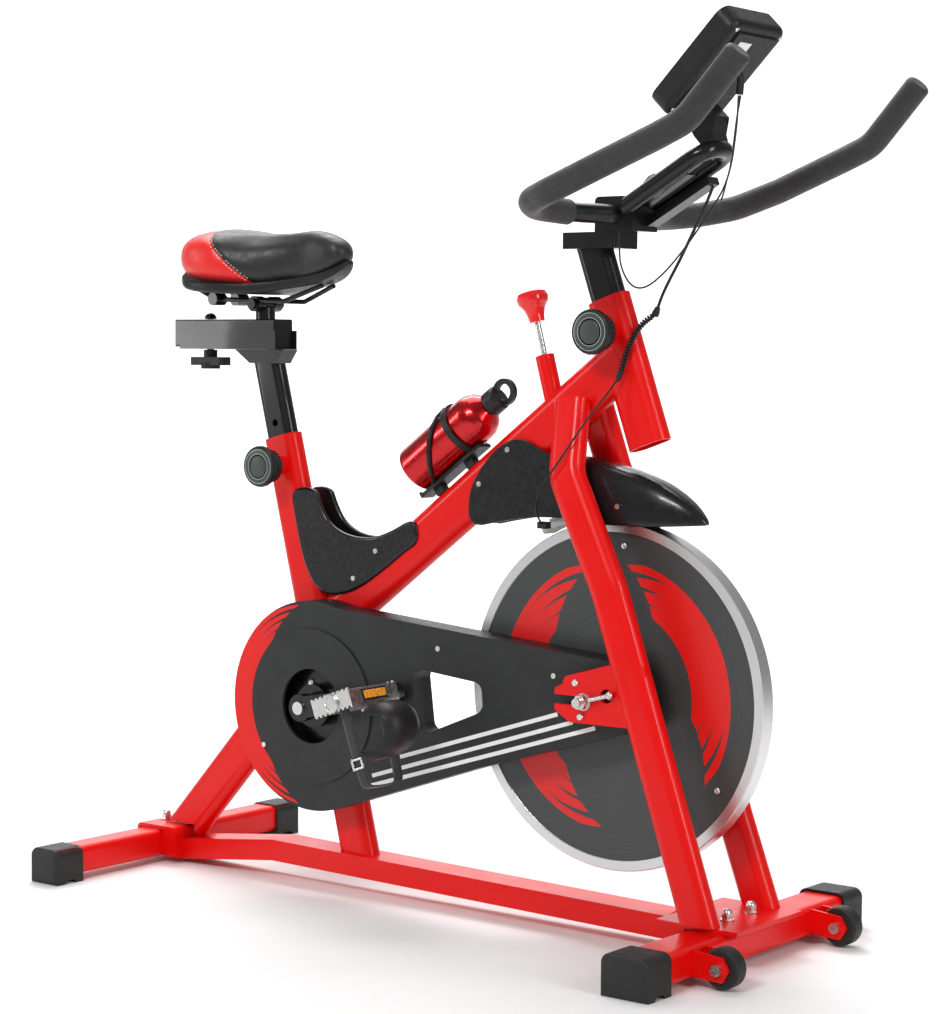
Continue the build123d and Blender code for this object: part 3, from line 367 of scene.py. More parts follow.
def wheel_material():
    """Turned silver rim, dark painted face and two red bands that end in claws."""
    s = Shader("flywheel_paint", (0.045, 0.048, 0.048), 0.42)
    x, y, z = s.axes()
    dx, dz = s.math("SUBTRACT", x, SHIFT_X / 1000), s.math("SUBTRACT", z, AXLE_Z / 1000)
    radius = s.math("MULTIPLY", s.math("SQRT", s.math("ADD", s.math("POWER", dx, 2), s.math("POWER", dz, 2))), 1000)
    angle = s.math("MULTIPLY", s.math("ARCTAN2", dz, dx), 180 / math.pi)
    s.tint(s.spread(s.noise(400, 3), 0.0, 0.6), (0.06, 0.064, 0.064))
    for shift, span in ((-38, 124), (98, 170)):
        t = s.math("DIVIDE", s.math("MODULO", s.math("ADD", angle, 360 - shift), 360), span)
        u = s.math("DIVIDE", s.math("SUBTRACT", radius, 120), 57)
        inside = s.math("MULTIPLY", s.math("GREATER_THAN", u, 0), s.math("LESS_THAN", u, 1))
        inside = s.math("MULTIPLY", inside, s.math("LESS_THAN", t, 1))
        near_low = s.math("DIVIDE", t, 0.30)
        near_high = s.math("DIVIDE", s.math("SUBTRACT", 1, t), 0.26)
        near = s.math("MINIMUM", s.math("MINIMUM", near_low, near_high), 1)
        finger = s.math("FRACT", s.math("MULTIPLY", s.math("SUBTRACT", u, s.math("MULTIPLY", near, 0.35)), 3.4))
        gap = s.math("GREATER_THAN", s.math("ADD", finger, s.math("MULTIPLY", near, 0.75)), 0.62)
        tip = s.math("GREATER_THAN", s.math("MULTIPLY", near, 1.25), s.math("SUBTRACT", 1, u))
        solid = s.math("MAXIMUM", s.math("GREATER_THAN", near, 0.98), s.math("MULTIPLY", gap, tip))
        s.tint(s.math("MULTIPLY", inside, solid), (0.78, 0.008, 0.006))
    rim = s.math("GREATER_THAN", radius, 211.6)
    s.tint(rim, (0.74, 0.74, 0.74))
    s.metal(rim)
    ring = s.noise(1.0, 4, (3, 3, 3))
    turned = s.tree.nodes.new("ShaderNodeTexNoise")
    turned.noise_dimensions = "1D"
    s.feed(turned.inputs["W"], s.math("ADD", radius, s.math("MULTIPLY", ring, 0.3)))
    turned.inputs["Scale"].default_value = 3.0
    s.rough(s.spread(turned.outputs["Fac"], 0.24, 0.42))
    s.bump(turned.outputs["Fac"], 0.12, 0.0002)
    return s.material


def guard_material():
    """Grained black plastic with three white stripes below the window and a red crescent on the rear rim."""
    s = plastic("guard_plastic", (0.018, 0.019, 0.019), 0.44, 1500, 0.14)
    x, y, z = s.axes()
    px, pz = s.math("SUBTRACT", s.math("MULTIPLY", x, 1000), SHIFT_X), s.math("MULTIPLY", z, 1000)
    outside = s.math("LESS_THAN", y, -0.0562)
    for (x0, z0), (x1, z1) in (((-315, 208), (-54, 291)), ((-364, 177), (-30, 283)), ((-370, 162), (5, 279))):
        dx, dz = x1 - x0, z1 - z0
        length = math.hypot(dx, dz)
        along = s.math("ADD", s.math("MULTIPLY", s.math("SUBTRACT", px, x0), dx / length),
                       s.math("MULTIPLY", s.math("SUBTRACT", pz, z0), dz / length))
        across = s.math("ADD", s.math("MULTIPLY", s.math("SUBTRACT", px, x0), -dz / length),
                        s.math("MULTIPLY", s.math("SUBTRACT", pz, z0), dx / length))
        band = s.math("MULTIPLY", s.math("LESS_THAN", s.math("ABSOLUTE", across), 2.7),
                      s.math("MULTIPLY", s.math("GREATER_THAN", along, 0), s.math("LESS_THAN", along, length)))
        s.tint(s.math("MULTIPLY", band, outside), (0.86, 0.86, 0.86))
    dx, dz = s.math("SUBTRACT", px, BB[0]), s.math("SUBTRACT", pz, BB[1])
    radius = s.math("SQRT", s.math("ADD", s.math("POWER", dx, 2), s.math("POWER", dz, 2)))
    angle = s.math("ABSOLUTE", s.math("MULTIPLY", s.math("ARCTAN2", dz, s.math("MULTIPLY", dx, -1)), 180 / math.pi))
    claw = s.math("MULTIPLY", s.math("MAXIMUM", s.math("SUBTRACT", angle, 48), 0), 0.9)
    stripe = s.math("FRACT", s.math("ADD", s.math("MULTIPLY", radius, 0.115), s.math("MULTIPLY", angle, 0.022)))
    cut = s.math("GREATER_THAN", stripe, s.math("MULTIPLY", s.math("SUBTRACT", angle, 42), 0.016))
    crescent = s.math("MULTIPLY", s.math("GREATER_THAN", radius, s.math("ADD", 112, claw)),
                      s.math("LESS_THAN", angle, 84))
    crescent = s.math("MULTIPLY", crescent, cut)
    crescent = s.math("MULTIPLY", crescent, s.math("LESS_THAN", y, -0.0362))
    s.tint(crescent, (0.76, 0.008, 0.006))
    return s.material


SEAM_SUM = 251.0                    # the saddle's seam lies in the plane x + z = this, in mm


def vinyl_material():
    """Soft vinyl: red at the rear and black in front of a slanted seam."""
    s = Shader("saddle_vinyl", (0.014, 0.014, 0.015), 0.4, sheen=0.1)
    x, y, z = s.axes()
    px, pz = s.math("SUBTRACT", s.math("MULTIPLY", x, 1000), SHIFT_X), s.math("MULTIPLY", z, 1000)
    s.tint(s.math("LESS_THAN", s.math("ADD", px, pz), SEAM_SUM), (0.78, 0.010, 0.008))
    s.rough(s.spread(s.noise(120, 4), 0.32, 0.5))
    s.bump(s.cells(650, "DISTANCE_TO_EDGE"), 0.22, 0.0006)
    s.bump(s.noise(60, 3), 0.1, 0.001)
    return s.material


FELT, FOAM, ALUMINIUM = felt_material(), foam_material(), aluminium_material()
BOTTLE_RED, WHEEL, GUARD, VINYL = bottle_material(), wheel_material(), guard_material(), vinyl_material()

# ---- Cord pieces ----------------------------------------------------------------------------------------
def lathe_along(name, start, end, profile, material, sides=28):
    """Turned piece round the line from start to end: profile gives (share of the length, radius in mm)."""
    a, b = mm(*start), mm(*end)
    along = (b - a).normalized()
    side = along.orthogonal().normalized()
    other = along.cross(side)
    bm = bmesh.new()
    rings = []
    for share, radius in profile:
        centre = a + (b - a) * share
        rings.append([bm.verts.new(centre + (side * math.cos(t) + other * math.sin(t)) * radius / 1000)
                      for t in (2 * math.pi * k / sides for k in range(sides))])
    for lower, upper in zip(rings, rings[1:]):
        for k in range(sides):
            bm.faces.new((lower[k], lower[(k + 1) % sides], upper[(k + 1) % sides], upper[k]))
    bm.faces.new(rings[0][::-1])
    bm.faces.new(rings[-1])
    return mesh_object(name, bm, material, sharp=40)


def curly_lead():
    """Coiled lead between the two straight ones."""
    line = line_of(CURLY_CORD, 90)
    total, run, turns, radius = length_of(line), 0.0, 25, 0.0031
    tangent = (line[1] - line[0]).normalized()
    side = tangent.orthogonal().normalized()
    path = []
    for i, p in enumerate(line):
        if i:
            run += (p - line[i - 1]).length
        ahead = (line[min(i + 1, len(line) - 1)] - line[max(i - 1, 0)]).normalized()
        side = (tangent.rotation_difference(ahead) @ side).normalized()
        tangent = ahead
        share = run / total
        angle = 2 * math.pi * turns * share
        grow = min(1, share * 18, (1 - share) * 18)
        path.append(p + (side * math.cos(angle) + tangent.cross(side) * math.sin(angle)) * radius * grow)
    obj = tube_along("curly_lead", path, 1.3, 8, CORD_BLACK)
    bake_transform(obj)
    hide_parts("curly_cord")
    collar = lathe_along("lead_collar", (16.4, -25, 731), (11.6, -25.6, 717),
                         [(0, 1.6), (0.1, 3.4), (0.6, 3.6), (0.7, 2.6), (1, 1.7)], CORD_BLACK)
    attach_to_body(collar, "frame")


connector = lathe_along("lead_connector", (57.5, -3.2, 812), (53.2, -4.8, 800),
                        [(0, 2.2), (0.08, 3.6), (0.45, 4.2), (0.5, 4.8), (0.9, 4.8), (1, 3.4)], CORD_BLACK)
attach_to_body(connector, "handlebar")
free_cord("sensor_lead", "sensor_cord", SENSOR_CORD, 4.0, "handlebar")
curly_lead()
free_cord("sensor_lead_low", "sensor_wire", SENSOR_WIRE, 2.6, "frame")
free_cord("pulse_lead_left", "pulse_wire_left", PULSE_LEFT, 2.4, "handlebar")
free_cord("pulse_lead_right", "pulse_wire_right", PULSE_RIGHT, 2.4, "handlebar")

# ---- CAD nodes that keep their shape --------------------------------------------------------------------
for node in ("main_tube", "seat_tube", "head_tube", "base_tube", "rear_strut", "fork_legs", "front_stabilizer",
             "rear_stabilizer"):
    smooth_node(node, RED_PAINT)
for node in ("seat_post", "handlebar_post", "handlebar_bar", "crank_arms", "crank_pulley", "saddle_frame",
             "seat_slider"):
    smooth_node(node, BLACK_PAINT)
for node in ("guard_inner", "bottle_cage", "speed_sensor", "slider_knob",
             "saddle_base", "console_front", "console_back", "console_plug", "bottle_cap"):
    smooth_node(node, BLACK_PLASTIC)
for node in ("frame_bolts", "cover_screws", "bearings", "flywheel_axle", "axle_hardware", "flywheel_pulley",
             "crank_spindle", "pedal_spindles", "brake_rod"):
    smooth_node(node, ZINC)
smooth_node("stabilizer_caps", CAP_RUBBER)
smooth_node("guard_outer", GUARD)
smooth_node("flywheel", WHEEL)
smooth_node("drive_belt", BELT_RUBBER)
smooth_node("brake_knob", RED_PLASTIC)
smooth_node("console_button", RED_PLASTIC)
smooth_node("brake_pad", FELT)
smooth_node("grips", FOAM)
smooth_node("console_lens", GLOSS_BLACK)
smooth_node("console_board", GLOSS_BLACK)
smooth_node("roller_left", TYRE)
smooth_node("roller_right", TYRE)
smooth_node("bottle", BOTTLE_RED)


# ---- Shapes shared by the detailed pieces ---------------------------------------------------------------
def rounded(points, passes=2, closed=True):
    """Corner cutting: turns a polygon into a smooth outline."""
    for _ in range(passes):
        pairs = list(zip(points, points[1:] + points[:1])) if closed else list(zip(points, points[1:]))
        fresh = []
        for a, b in pairs:
            a, b = Vector(a), Vector(b)
            fresh += [tuple(a.lerp(b, 0.25)), tuple(a.lerp(b, 0.75))]
        points = fresh if closed else [points[0]] + fresh + [points[-1]]
    return points


def through(points, steps):
    """Smooth line through points (Catmull-Rom), with steps samples to each span."""
    pts = [Vector(p) for p in points]
    pts = [2 * pts[0] - pts[1]] + pts + [2 * pts[-1] - pts[-2]]
    out = []
    for a, b, c, d in zip(pts, pts[1:], pts[2:], pts[3:]):
        for k in range(steps):
            t = k / steps
            out.append(0.5 * (2 * b + (c - a) * t + (2 * a - 5 * b + 4 * c - d) * t * t
                              + (3 * b - a - 3 * c + d) * t ** 3))
    return out + [pts[-2]]


def grid_faces(bm, rows, closed=False):
    for a, b in zip(rows, rows[1:]):
        n = len(a)
        for k in range(n if closed else n - 1):
            bm.faces.new((a[k], a[(k + 1) % n], b[(k + 1) % n], b[k]))


def slab(name, outline, y0, y1, material, edge=1.2, place=None):
    """Plate with an outline in the XZ plane between two values of y, its edges rounded."""
    place = place or mm
    bm = bmesh.new()
    low = [bm.verts.new(place(x, y0, z)) for x, z in outline]
    high = [bm.verts.new(place(x, y1, z)) for x, z in outline]
    bm.faces.new(low)
    bm.faces.new(high[::-1])
    grid_faces(bm, [low, high], closed=True)
    obj = mesh_object(name, bm, material, sharp=30)
    return bevel(obj, edge, 3, 50) if edge else obj


def attach(obj, body, slot, *nodes):
    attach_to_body(obj, body)
    if nodes:
        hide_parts(*nodes)
    return obj


def join(name, objs):
    """One object from several, modifiers applied."""
    depsgraph = bpy.context.evaluated_depsgraph_get()
    bm = bmesh.new()
    materials = []
    for o in objs:
        mesh = bpy.data.meshes.new_from_object(o.evaluated_get(depsgraph))
        mesh.transform(o.matrix_world)
        first = len(bm.faces)
        bm.from_mesh(mesh)
        bm.faces.ensure_lookup_table()
        shift = []
        for m in o.data.materials:
            if m not in materials:
                materials.append(m)
            shift.append(materials.index(m))
        for f in bm.faces[first:]:
            f.material_index = shift[min(f.material_index, len(shift) - 1)] if shift else 0
        bpy.data.meshes.remove(mesh)
    for o in objs:
        bpy.data.objects.remove(o)
    data = bpy.data.meshes.new(name)
    bm.to_mesh(data)
    bm.free()
    for m in materials:
        data.materials.append(m)
    return put(bpy.data.objects.new(name, data))


# ---- Saddle ---------------------------------------------------------------------------------------------
# Cross-sections from rear to nose, in mm: x, half width, lowest z, highest z
SADDLE = [(-746, 36, 866, 899), (-725, 64, 851, 919), (-690, 86, 842, 926), (-645, 86, 838, 923),
          (-595, 66, 838, 916), (-545, 42, 844, 917), (-500, 33, 852, 921), (-468, 26, 866, 912),
          (-456, 14, 878, 900)]
SADDLE_VOXEL, SADDLE_PRESSURE, SADDLE_SWELL = 0.005, 4.0, 0.006
SEAM_DEPTH, SEAM_WIDTH = 0.0014, 0.0028
STITCH_PITCH, STITCH_OFFSET, STITCH_LENGTH, STITCH_LOWEST = 0.0042, 0.0024, 0.00155, 0.852


def saddle_mesh(name, shrink):
    stations = through([(x, w, lo) for x, w, lo, hi in SADDLE], 3)
    tops = through([(x, hi, 0) for x, w, lo, hi in SADDLE], 3)
    bm = bmesh.new()
    rows = []
    for s, t in zip(stations, tops):
        w, lo, hi = s[1] - shrink, s[2] + shrink, t[1] - shrink
        ring = []
        for k in range(32):
            a = 2 * math.pi * k / 32
            c, v = math.cos(a), math.sin(a)
            y = w * math.copysign(abs(c) ** 0.78, c)
            z = (lo + hi) / 2 + (hi - lo) / 2 * math.copysign(abs(v) ** 0.72, v)
            ring.append(bm.verts.new(mm(s[0], y, z)))
        rows.append(ring)
    grid_faces(bm, rows, closed=True)
    bm.faces.new(rows[0][::-1])
    bm.faces.new(rows[-1])
    return mesh_object(name, bm, VINYL)


def voxel_mesh(obj):
    """Gives the object its own mesh remade in even voxels."""
    modify(obj, "REMESH", mode="VOXEL", voxel_size=SADDLE_VOXEL)
    dg = bpy.context.evaluated_depsgraph_get()
    mesh = bpy.data.meshes.new_from_object(obj.evaluated_get(dg))
    obj.modifiers.clear()
    obj.data = mesh


def swell(obj, pressure, cap):
    """Pads a closed form by cloth simulation: inflate it, and cap how far each point moves."""
    rest = [v.co.copy() for v in obj.data.vertices]
    cloth = modify(obj, "CLOTH")
    cloth.settings.use_pressure = True
    cloth.settings.uniform_pressure_force = pressure
    cloth.settings.effector_weights.gravity = 0
    cloth.settings.tension_stiffness = 40
    cloth.settings.quality = 5
    for f in range(1, 21):
        SCENE.frame_set(f)
    dg = bpy.context.evaluated_depsgraph_get()
    blown = obj.evaluated_get(dg).to_mesh()
    moved = [v.co.copy() for v in blown.vertices]
    obj.evaluated_get(dg).to_mesh_clear()
    obj.modifiers.clear()
    SCENE.frame_set(1)
    for v, a, b in zip(obj.data.vertices, rest, moved):
        step = b - a
        v.co = a + step * min(1.0, cap / max(step.length, 1e-9))


def saddle():
    obj = saddle_mesh("saddle_pad", 4.0)
    voxel_mesh(obj)
    swell(obj, SADDLE_PRESSURE, SADDLE_SWELL)
    bm = bmesh.new()
    bm.from_mesh(obj.data)
    for _ in range(4):
        bmesh.ops.smooth_vert(bm, verts=bm.verts, factor=0.5, use_axis_x=True, use_axis_y=True,
                              use_axis_z=True)
    cut = bmesh.ops.bisect_plane(bm, geom=bm.verts[:] + bm.edges[:] + bm.faces[:], dist=1e-6,
                                 plane_co=mm(0, 0, SEAM_SUM), plane_no=Vector((1, 0, 1)).normalized())
    seam = [v.co.copy() for v in cut["geom_cut"] if isinstance(v, bmesh.types.BMVert)]
    plane_at = SEAM_SUM / 1000 + SHIFT_X / 1000
    bm.normal_update()
    for v in bm.verts:
        d = (v.co.x + v.co.z - plane_at) / math.sqrt(2)
        v.co -= v.normal * SEAM_DEPTH * math.exp(-(d / SEAM_WIDTH) ** 2)
    bm.to_mesh(obj.data)
    bm.free()
    obj.data.materials.clear()
    obj.data.materials.append(VINYL)
    obj.data.shade_smooth()
    modify(obj, "SUBSURF", levels=1, render_levels=1)
    attach(obj, "saddle", "saddle_vinyl", "saddle_cushion")
    stitches(obj, seam)


def stitches(obj, seam):
    """Two rows of white thread along the seam."""
    tree = BVHTree.FromPolygons([v.co for v in obj.data.vertices], [tuple(p.vertices) for p in obj.data.polygons])
    centre = sum(seam, Vector()) / len(seam)
    across = Vector((0, 1, 0))
    upward = Vector((-1, 0, 1)).normalized()
    seam = sorted(seam, key=lambda p: math.atan2((p - centre).dot(upward), (p - centre).dot(across)))
    bm = bmesh.new()
    run = 0.0
    normal = Vector((1, 0, 1)).normalized()
    for a, b in zip(seam, seam[1:]):
        run += (b - a).length
        if run < STITCH_PITCH:
            continue
        run = 0.0
        if b.z < STITCH_LOWEST:
            continue
        along = (b - a).normalized()
        for side in (-1, 1):
            hit, n, _, _ = tree.find_nearest(b + normal * side * STITCH_OFFSET)
            along_flat = (along - n * along.dot(n)).normalized()
            frame_turn = Matrix((along_flat, n.cross(along_flat), n)).transposed().to_4x4()
            place = Matrix.Translation(hit + n * 0.0002) @ frame_turn @ Matrix.Diagonal((1.0, 0.33, 0.3, 1))
            bmesh.ops.create_icosphere(bm, subdivisions=2, radius=STITCH_LENGTH, matrix=place)
    thread = mesh_object("saddle_stitching", bm, THREAD)
    attach(thread, "saddle", "saddle_vinyl")


def thread_material():
    s = Shader("thread", (0.85, 0.85, 0.83), 0.7, sheen=0.3)
    s.bump(s.noise(3000, 3), 0.4, 0.0002)
    s.tint(s.spread(s.noise(800, 3), 0.0, 0.5), (0.66, 0.66, 0.64))
    return s.material


THREAD = thread_material()
saddle()


# ---- Fender and frame covers ----------------------------------------------------------------------------
def hood():
    """Front hood over the wheel: a curved shell that narrows to a point."""
    tops = through([(-64, 622, 34), (-20, 615, 34), (28, 604, 33), (70, 590, 29), (105, 570, 20), (126, 551, 10),
                    (133, 541, 3)], 5)
    bm = bmesh.new()
    rows = []
    for p in tops:
        x, top, half = p
        low = 535 + max(0, x - 60) * 0.06
        ring = []
        for k in range(25):
            a = math.pi * k / 24
            c, v = math.cos(a), math.sin(a)
            y = -half * math.copysign(abs(c) ** 0.62, c)
            ring.append(bm.verts.new(mm(x + 2 * v, y, low + max(top - low, 2) * abs(v) ** 0.75)))
        rows.append(ring)
    grid_faces(bm, rows)
    shell = mesh_object("fender_hood", bm, GLOSS_BLACK, sharp=60)
    modify(shell, "SOLIDIFY", thickness=0.0028, offset=-1)
    modify(shell, "SUBSURF", levels=1, render_levels=2)
    attach(shell, "frame", "gloss_black", "fender")
    outline = rounded([(-227, 520), (-230, 560), (-217, 590), (-190, 622), (-165, 638), (-138, 641), (-112, 628),
                       (-60, 606), (-44, 560), (-46, 540), (-119, 540), (-171, 532)], 2)
    for side in (-1, 1):
        panel = slab("fender_side_%s" % ("right" if side < 0 else "left"), outline, side * 21.8, side * 17.6,
                     GLOSS_BLACK, 1.4)
        attach(panel, "frame", "gloss_black")


def gussets():
    outline = rounded([(-549, 560), (-503, 564), (-493, 540), (-478, 516), (-453, 502), (-425, 497), (-395, 498),
                       (-362, 510), (-332, 526), (-319, 520), (-318, 494), (-340, 482), (-365, 463), (-425, 423),
                       (-471, 412), (-497, 420), (-515, 440), (-528, 470), (-541, 520)], 2)
    made = [slab("gusset", outline, side * 20.6, side * 12.5, GLOSS_BLACK, 3.4) for side in (-1, 1)]
    attach(join("gusset_shells", made), "frame", "gloss_black", "gusset_covers")


hood()
gussets()


# ---- Pull knobs -----------------------------------------------------------------------------------------
def lathe_ribbed(name, x, z, profile, ribs, depth, material, sides=96):
    """Turned piece on an axis along Y. profile: (y, radius, share of the rib depth)."""
    bm = bmesh.new()
    rows = []
    for y, radius, share in profile:
        row = []
        for k in range(sides):
            a = 2 * math.pi * k / sides
            r = radius - depth * share * (0.5 + 0.5 * math.cos(ribs * a)) ** 2
            row.append(bm.verts.new(mm(x + r * math.cos(a), y, z + r * math.sin(a))))
        rows.append(row)
    grid_faces(bm, rows, closed=True)
    bm.faces.new(rows[0][::-1])
    bm.faces.new(rows[-1])
    return mesh_object(name, bm, material, sharp=38)


def pull_knob(name, x, z, body):
    shell = lathe_ribbed(name, x, z, [(-14.2, 5.9, 0), (-38, 5.9, 0), (-38, 21.5, 0), (-39, 23.5, 1), (-54, 24, 1),
                                      (-55, 27.6, 0.4), (-57, 29, 0.3), (-61, 29, 0.3), (-63.4, 28, 0), (-64.2, 26.6, 0),
                                      (-64.0, 25.6, 0), (-63.2, 25, 0)], 24, 1.6, BLACK_PLASTIC)
    face = lathe_ribbed(name + "_face", x, z, [(-62.6, 25.2, 0), (-64.3, 25.1, 0), (-64.7, 24.4, 0), (-64.7, 17, 0),
                                               (-64.1, 16.4, 0), (-64.1, 15.8, 0), (-64.9, 15.0, 0), (-65.6, 11, 0),
                                               (-65.9, 5, 0)], 1, 0, KNOB_FACE)
    marks = [lathe_ribbed("mark", x, z, [(-64.6, r0, 0), (-64.95, r0 + 0.1, 0), (-64.95, r1 - 0.1, 0), (-64.6, r1, 0)],
                          1, 0, KNOB_RING, 72) for r0, r1 in ((17.4, 18.1), (23.4, 24.1))]
    attach(join(name + "_knob", [shell, face] + marks), body, "black_plastic", body)


KNOB_FACE = plastic("knob_face", (0.045, 0.058, 0.052), 0.4, 1200, 0.08).material
KNOB_RING = plastic("knob_ring", (0.45, 0.47, 0.45), 0.45, 900, 0.05).material
pull_knob("seat_pull", -568.9, 591, "seat_pin")
pull_knob("head_pull", -4.74, 780, "head_pin")


# ---- Pedals ---------------------------------------------------------------------------------------------
def pedal_place(side):
    px, pz = PEDAL if side < 0 else PEDAL_L
    turn_c, turn_s = math.cos(PEDAL_TILT), math.sin(PEDAL_TILT)
    return lambda u, v, w: mm(px + u * turn_c - w * turn_s, side * v, pz + u * turn_s + w * turn_c)


def serrated():
    """Outline of a pedal's side plate with teeth along its top and bottom."""
    top = []
    for k in range(9):
        u = -34 + 68 * k / 8.5
        top += [(u, 13.2), (u + 2.6, 13.2), (u + 3.4, 10.4), (u + 6.4, 10.4)]
    top = [(min(u, 34), w) for u, w in top]
    return top + [(-u, -w) for u, w in top]


def pedal(side, name):
    at = pedal_place(side)
    parts = []
    for v0, v1 in ((196.5, 201), (104, 108.5)):
        parts.append(slab("plate", serrated(), v0, v1, ALUMINIUM, 0.5, at))
    for u0, u1 in ((-34, -28), (28, 34)):
        parts.append(slab("bar", [(u0, -10.5), (u1, -10.5), (u1, 10.5), (u0, 10.5)], 107, 198, ALUMINIUM, 0.9, at))
    for v in (126, 152.5, 179):
        parts.append(slab("rib", [(-30, -6), (30, -6), (30, 6), (-30, 6)], v - 2.2, v + 2.2, ALUMINIUM, 0.8, at))
    bm = bmesh.new()
    rows = []
    for v, r in ((110, 8), (110, 12.6), (122, 12.6), (124, 10.6), (190, 10.6), (192, 12.9), (203.4, 12.9), (204.6, 11.6),
                 (204.8, 8.2), (203.4, 7.4), (203.4, 0.6)):
        rows.append([bm.verts.new(at(r * math.cos(a), v, r * math.sin(a)))
                     for a in (2 * math.pi * k / 40 for k in range(40))])
    grid_faces(bm, rows, closed=True)
    bm.faces.new(rows[0][::-1])
    bm.faces.new(rows[-1])
    parts.append(mesh_object("barrel", bm, ALUMINIUM, sharp=30))
    body = join(name + "_body", parts)
    attach(body, name, "aluminium", name)
    glass = []
    for sign in (-1, 1):
        glass.append(slab("bezel", [(sign * 33.5, -7.6), (sign * 35.4, -7.6), (sign * 35.4, 7.6), (sign * 33.5, 7.6)],
                          128, 177, BLACK_PLASTIC, 0.6, at))
        glass.append(slab("lens", [(sign * 34.5, -5.4), (sign * 36.4, -5.4), (sign * 36.4, 5.4), (sign * 34.5, 5.4)],
                          131, 174, REFLECTOR, 0.7, at))
    attach(join(name + "_reflectors", glass), name, "aluminium")


def cage(side, name):
    """Toe cage: a moulded half shell, a webbing strap round the pedal and a small buckle."""
    at = pedal_place(side)
    spine = through([(30, -14, 0), (56, -17, 0), (74, -32, 0), (76, -56, 0), (62, -77, 0), (34, -84, 0), (10, -84, 0)], 5)
    bm = bmesh.new()
    rows = []
    for p, q in zip(spine, spine[1:] + [spine[-1] * 2 - spine[-2]]):
        ahead = (q - p).normalized()
        inward = Vector((-ahead.y, ahead.x, 0)) * -1
        row = []
        for k in range(15):
            t = -1 + 2 * k / 14
            curl = 15 * abs(t) ** 3.2
            row.append(bm.verts.new(at(p.x + inward.x * curl, 150.5 + 34 * t, p.y + inward.y * curl)))
        rows.append(row)
    grid_faces(bm, rows)
    shell = mesh_object("shell", bm, BLACK_PLASTIC, sharp=70)
    modify(shell, "SOLIDIFY", thickness=0.0026, offset=0)
    modify(shell, "SUBSURF", levels=1, render_levels=1)
    band = rounded([(113.5, -11), (112.5, -60), (114, -112), (122, -118), (176, -118), (184, -112), (186, -60),
                    (185, -11)], 2, closed=False)
    bm = bmesh.new()
    rows = [[bm.verts.new(at(u, v, w)) for u in (-2, 2, 9, 13)] for v, w in band]
    grid_faces(bm, rows)
    strap = mesh_object("strap", bm, WEBBING, sharp=70)
    modify(strap, "SOLIDIFY", thickness=0.0018, offset=0)
    buckle = []
    for w0, w1 in ((-92, -89), (-80, -77)):
        buckle.append(slab("pin", [(-4, w0), (15, w0), (15, w1), (-4, w1)], 185, 189, ZINC, 0.8, at))
    for u0, u1 in ((-4, -1), (12, 15)):
        buckle.append(slab("rail", [(u0, -92), (u1, -92), (u1, -77), (u0, -77)], 185.2, 189.2, ZINC, 0.8, at))
    attach(join(name + "_shell", [shell, strap] + buckle), name.replace("toe_cage", "pedal"), "black_plastic", name)


def reflector_material():
    s = Shader("reflector_orange", (0.85, 0.24, 0.01), 0.18, coat=0.7)
    s.tint(s.math("GREATER_THAN", s.cells(260), 0.42), (0.98, 0.42, 0.05))
    s.rough(s.spread(s.noise(300, 2), 0.12, 0.3))
    s.bump(s.cells(420), 0.6, 0.0008)
    return s.material


def webbing_material():
    s = Shader("webbing", (0.014, 0.014, 0.014), 0.7, sheen=0.2)
    s.tint(s.spread(s.noise(700, 3), 0.0, 0.6), (0.03, 0.03, 0.03))
    s.bump(s.cells(900, stretch=(1, 1, 0.5)), 0.5, 0.0005)
    return s.material


REFLECTOR, WEBBING = reflector_material(), webbing_material()
pedal(-1, "pedal_right")
pedal(1, "pedal_left")
cage(-1, "toe_cage_right")
cage(1, "toe_cage_left")


# ---- Small fittings -------------------------------------------------------------------------------------
def domed_head(name, x, z, face, side, radius, height, material=None):
    """Round screw head on a face at distance face from the middle plane, with a round recess."""
    y = [side * (face + height * t) for t in (0, 0.35, 0.75, 1)]
    profile = [(0, radius), (0.35, radius), (0.75, radius * 0.86), (0.97, radius * 0.5), (0.98, radius * 0.34),
               (0.7, radius * 0.30)]
    return lathe_along(name, (x, y[0], z), (x, y[3], z), profile, material or WHITE_ZINC)


def screw_group(name, body, slot, spots):
    heads = [domed_head("head", *spot) for spot in spots]
    attach(join(name, heads), body, slot)


def console_at(y, up, out):
    """A point of the console: across, up its rider face, and out of that face."""
    c = math.sqrt(0.5)
    return mm(CONSOLE_X + (up - out) * c, y, CONSOLE_Z + (up + out) * c)


def console_tile(name, y0, y1, up0, up1, out0, out1, material, edge):
    bm = bmesh.new()
    low, high = [[bm.verts.new(console_at(y, up, out)) for y, up in ((y0, up0), (y1, up0), (y1, up1), (y0, up1))]
                 for out in (out0, out1)]
    bm.faces.new(low)
    bm.faces.new(high[::-1])
    grid_faces(bm, [low, high], closed=True)
    return bevel(mesh_object(name, bm, material, sharp=30), edge, 3, 50)


def digit(y, up, size, lit):
    """Seven-bar number on the display, as raised dark bars."""
    w, h, t = size * 0.5, size, size * 0.11
    bars = {"a": (0, h, w, 0), "b": (w, h / 2, 0, h / 2), "c": (w, 0, 0, h / 2), "d": (0, 0, w, 0),
            "e": (0, 0, 0, h / 2), "f": (0, h / 2, 0, h / 2), "g": (0, h / 2, w, 0)}
    out = []
    for key in lit:
        dy, dz, lw, lh = bars[key]
        out.append(console_tile("bar", y - dy - lw - t / 2, y - dy + t / 2, up + dz - t / 2, up + dz + lh + t / 2,
                                -0.4, -0.1, DIGIT, 0.05))
    return out


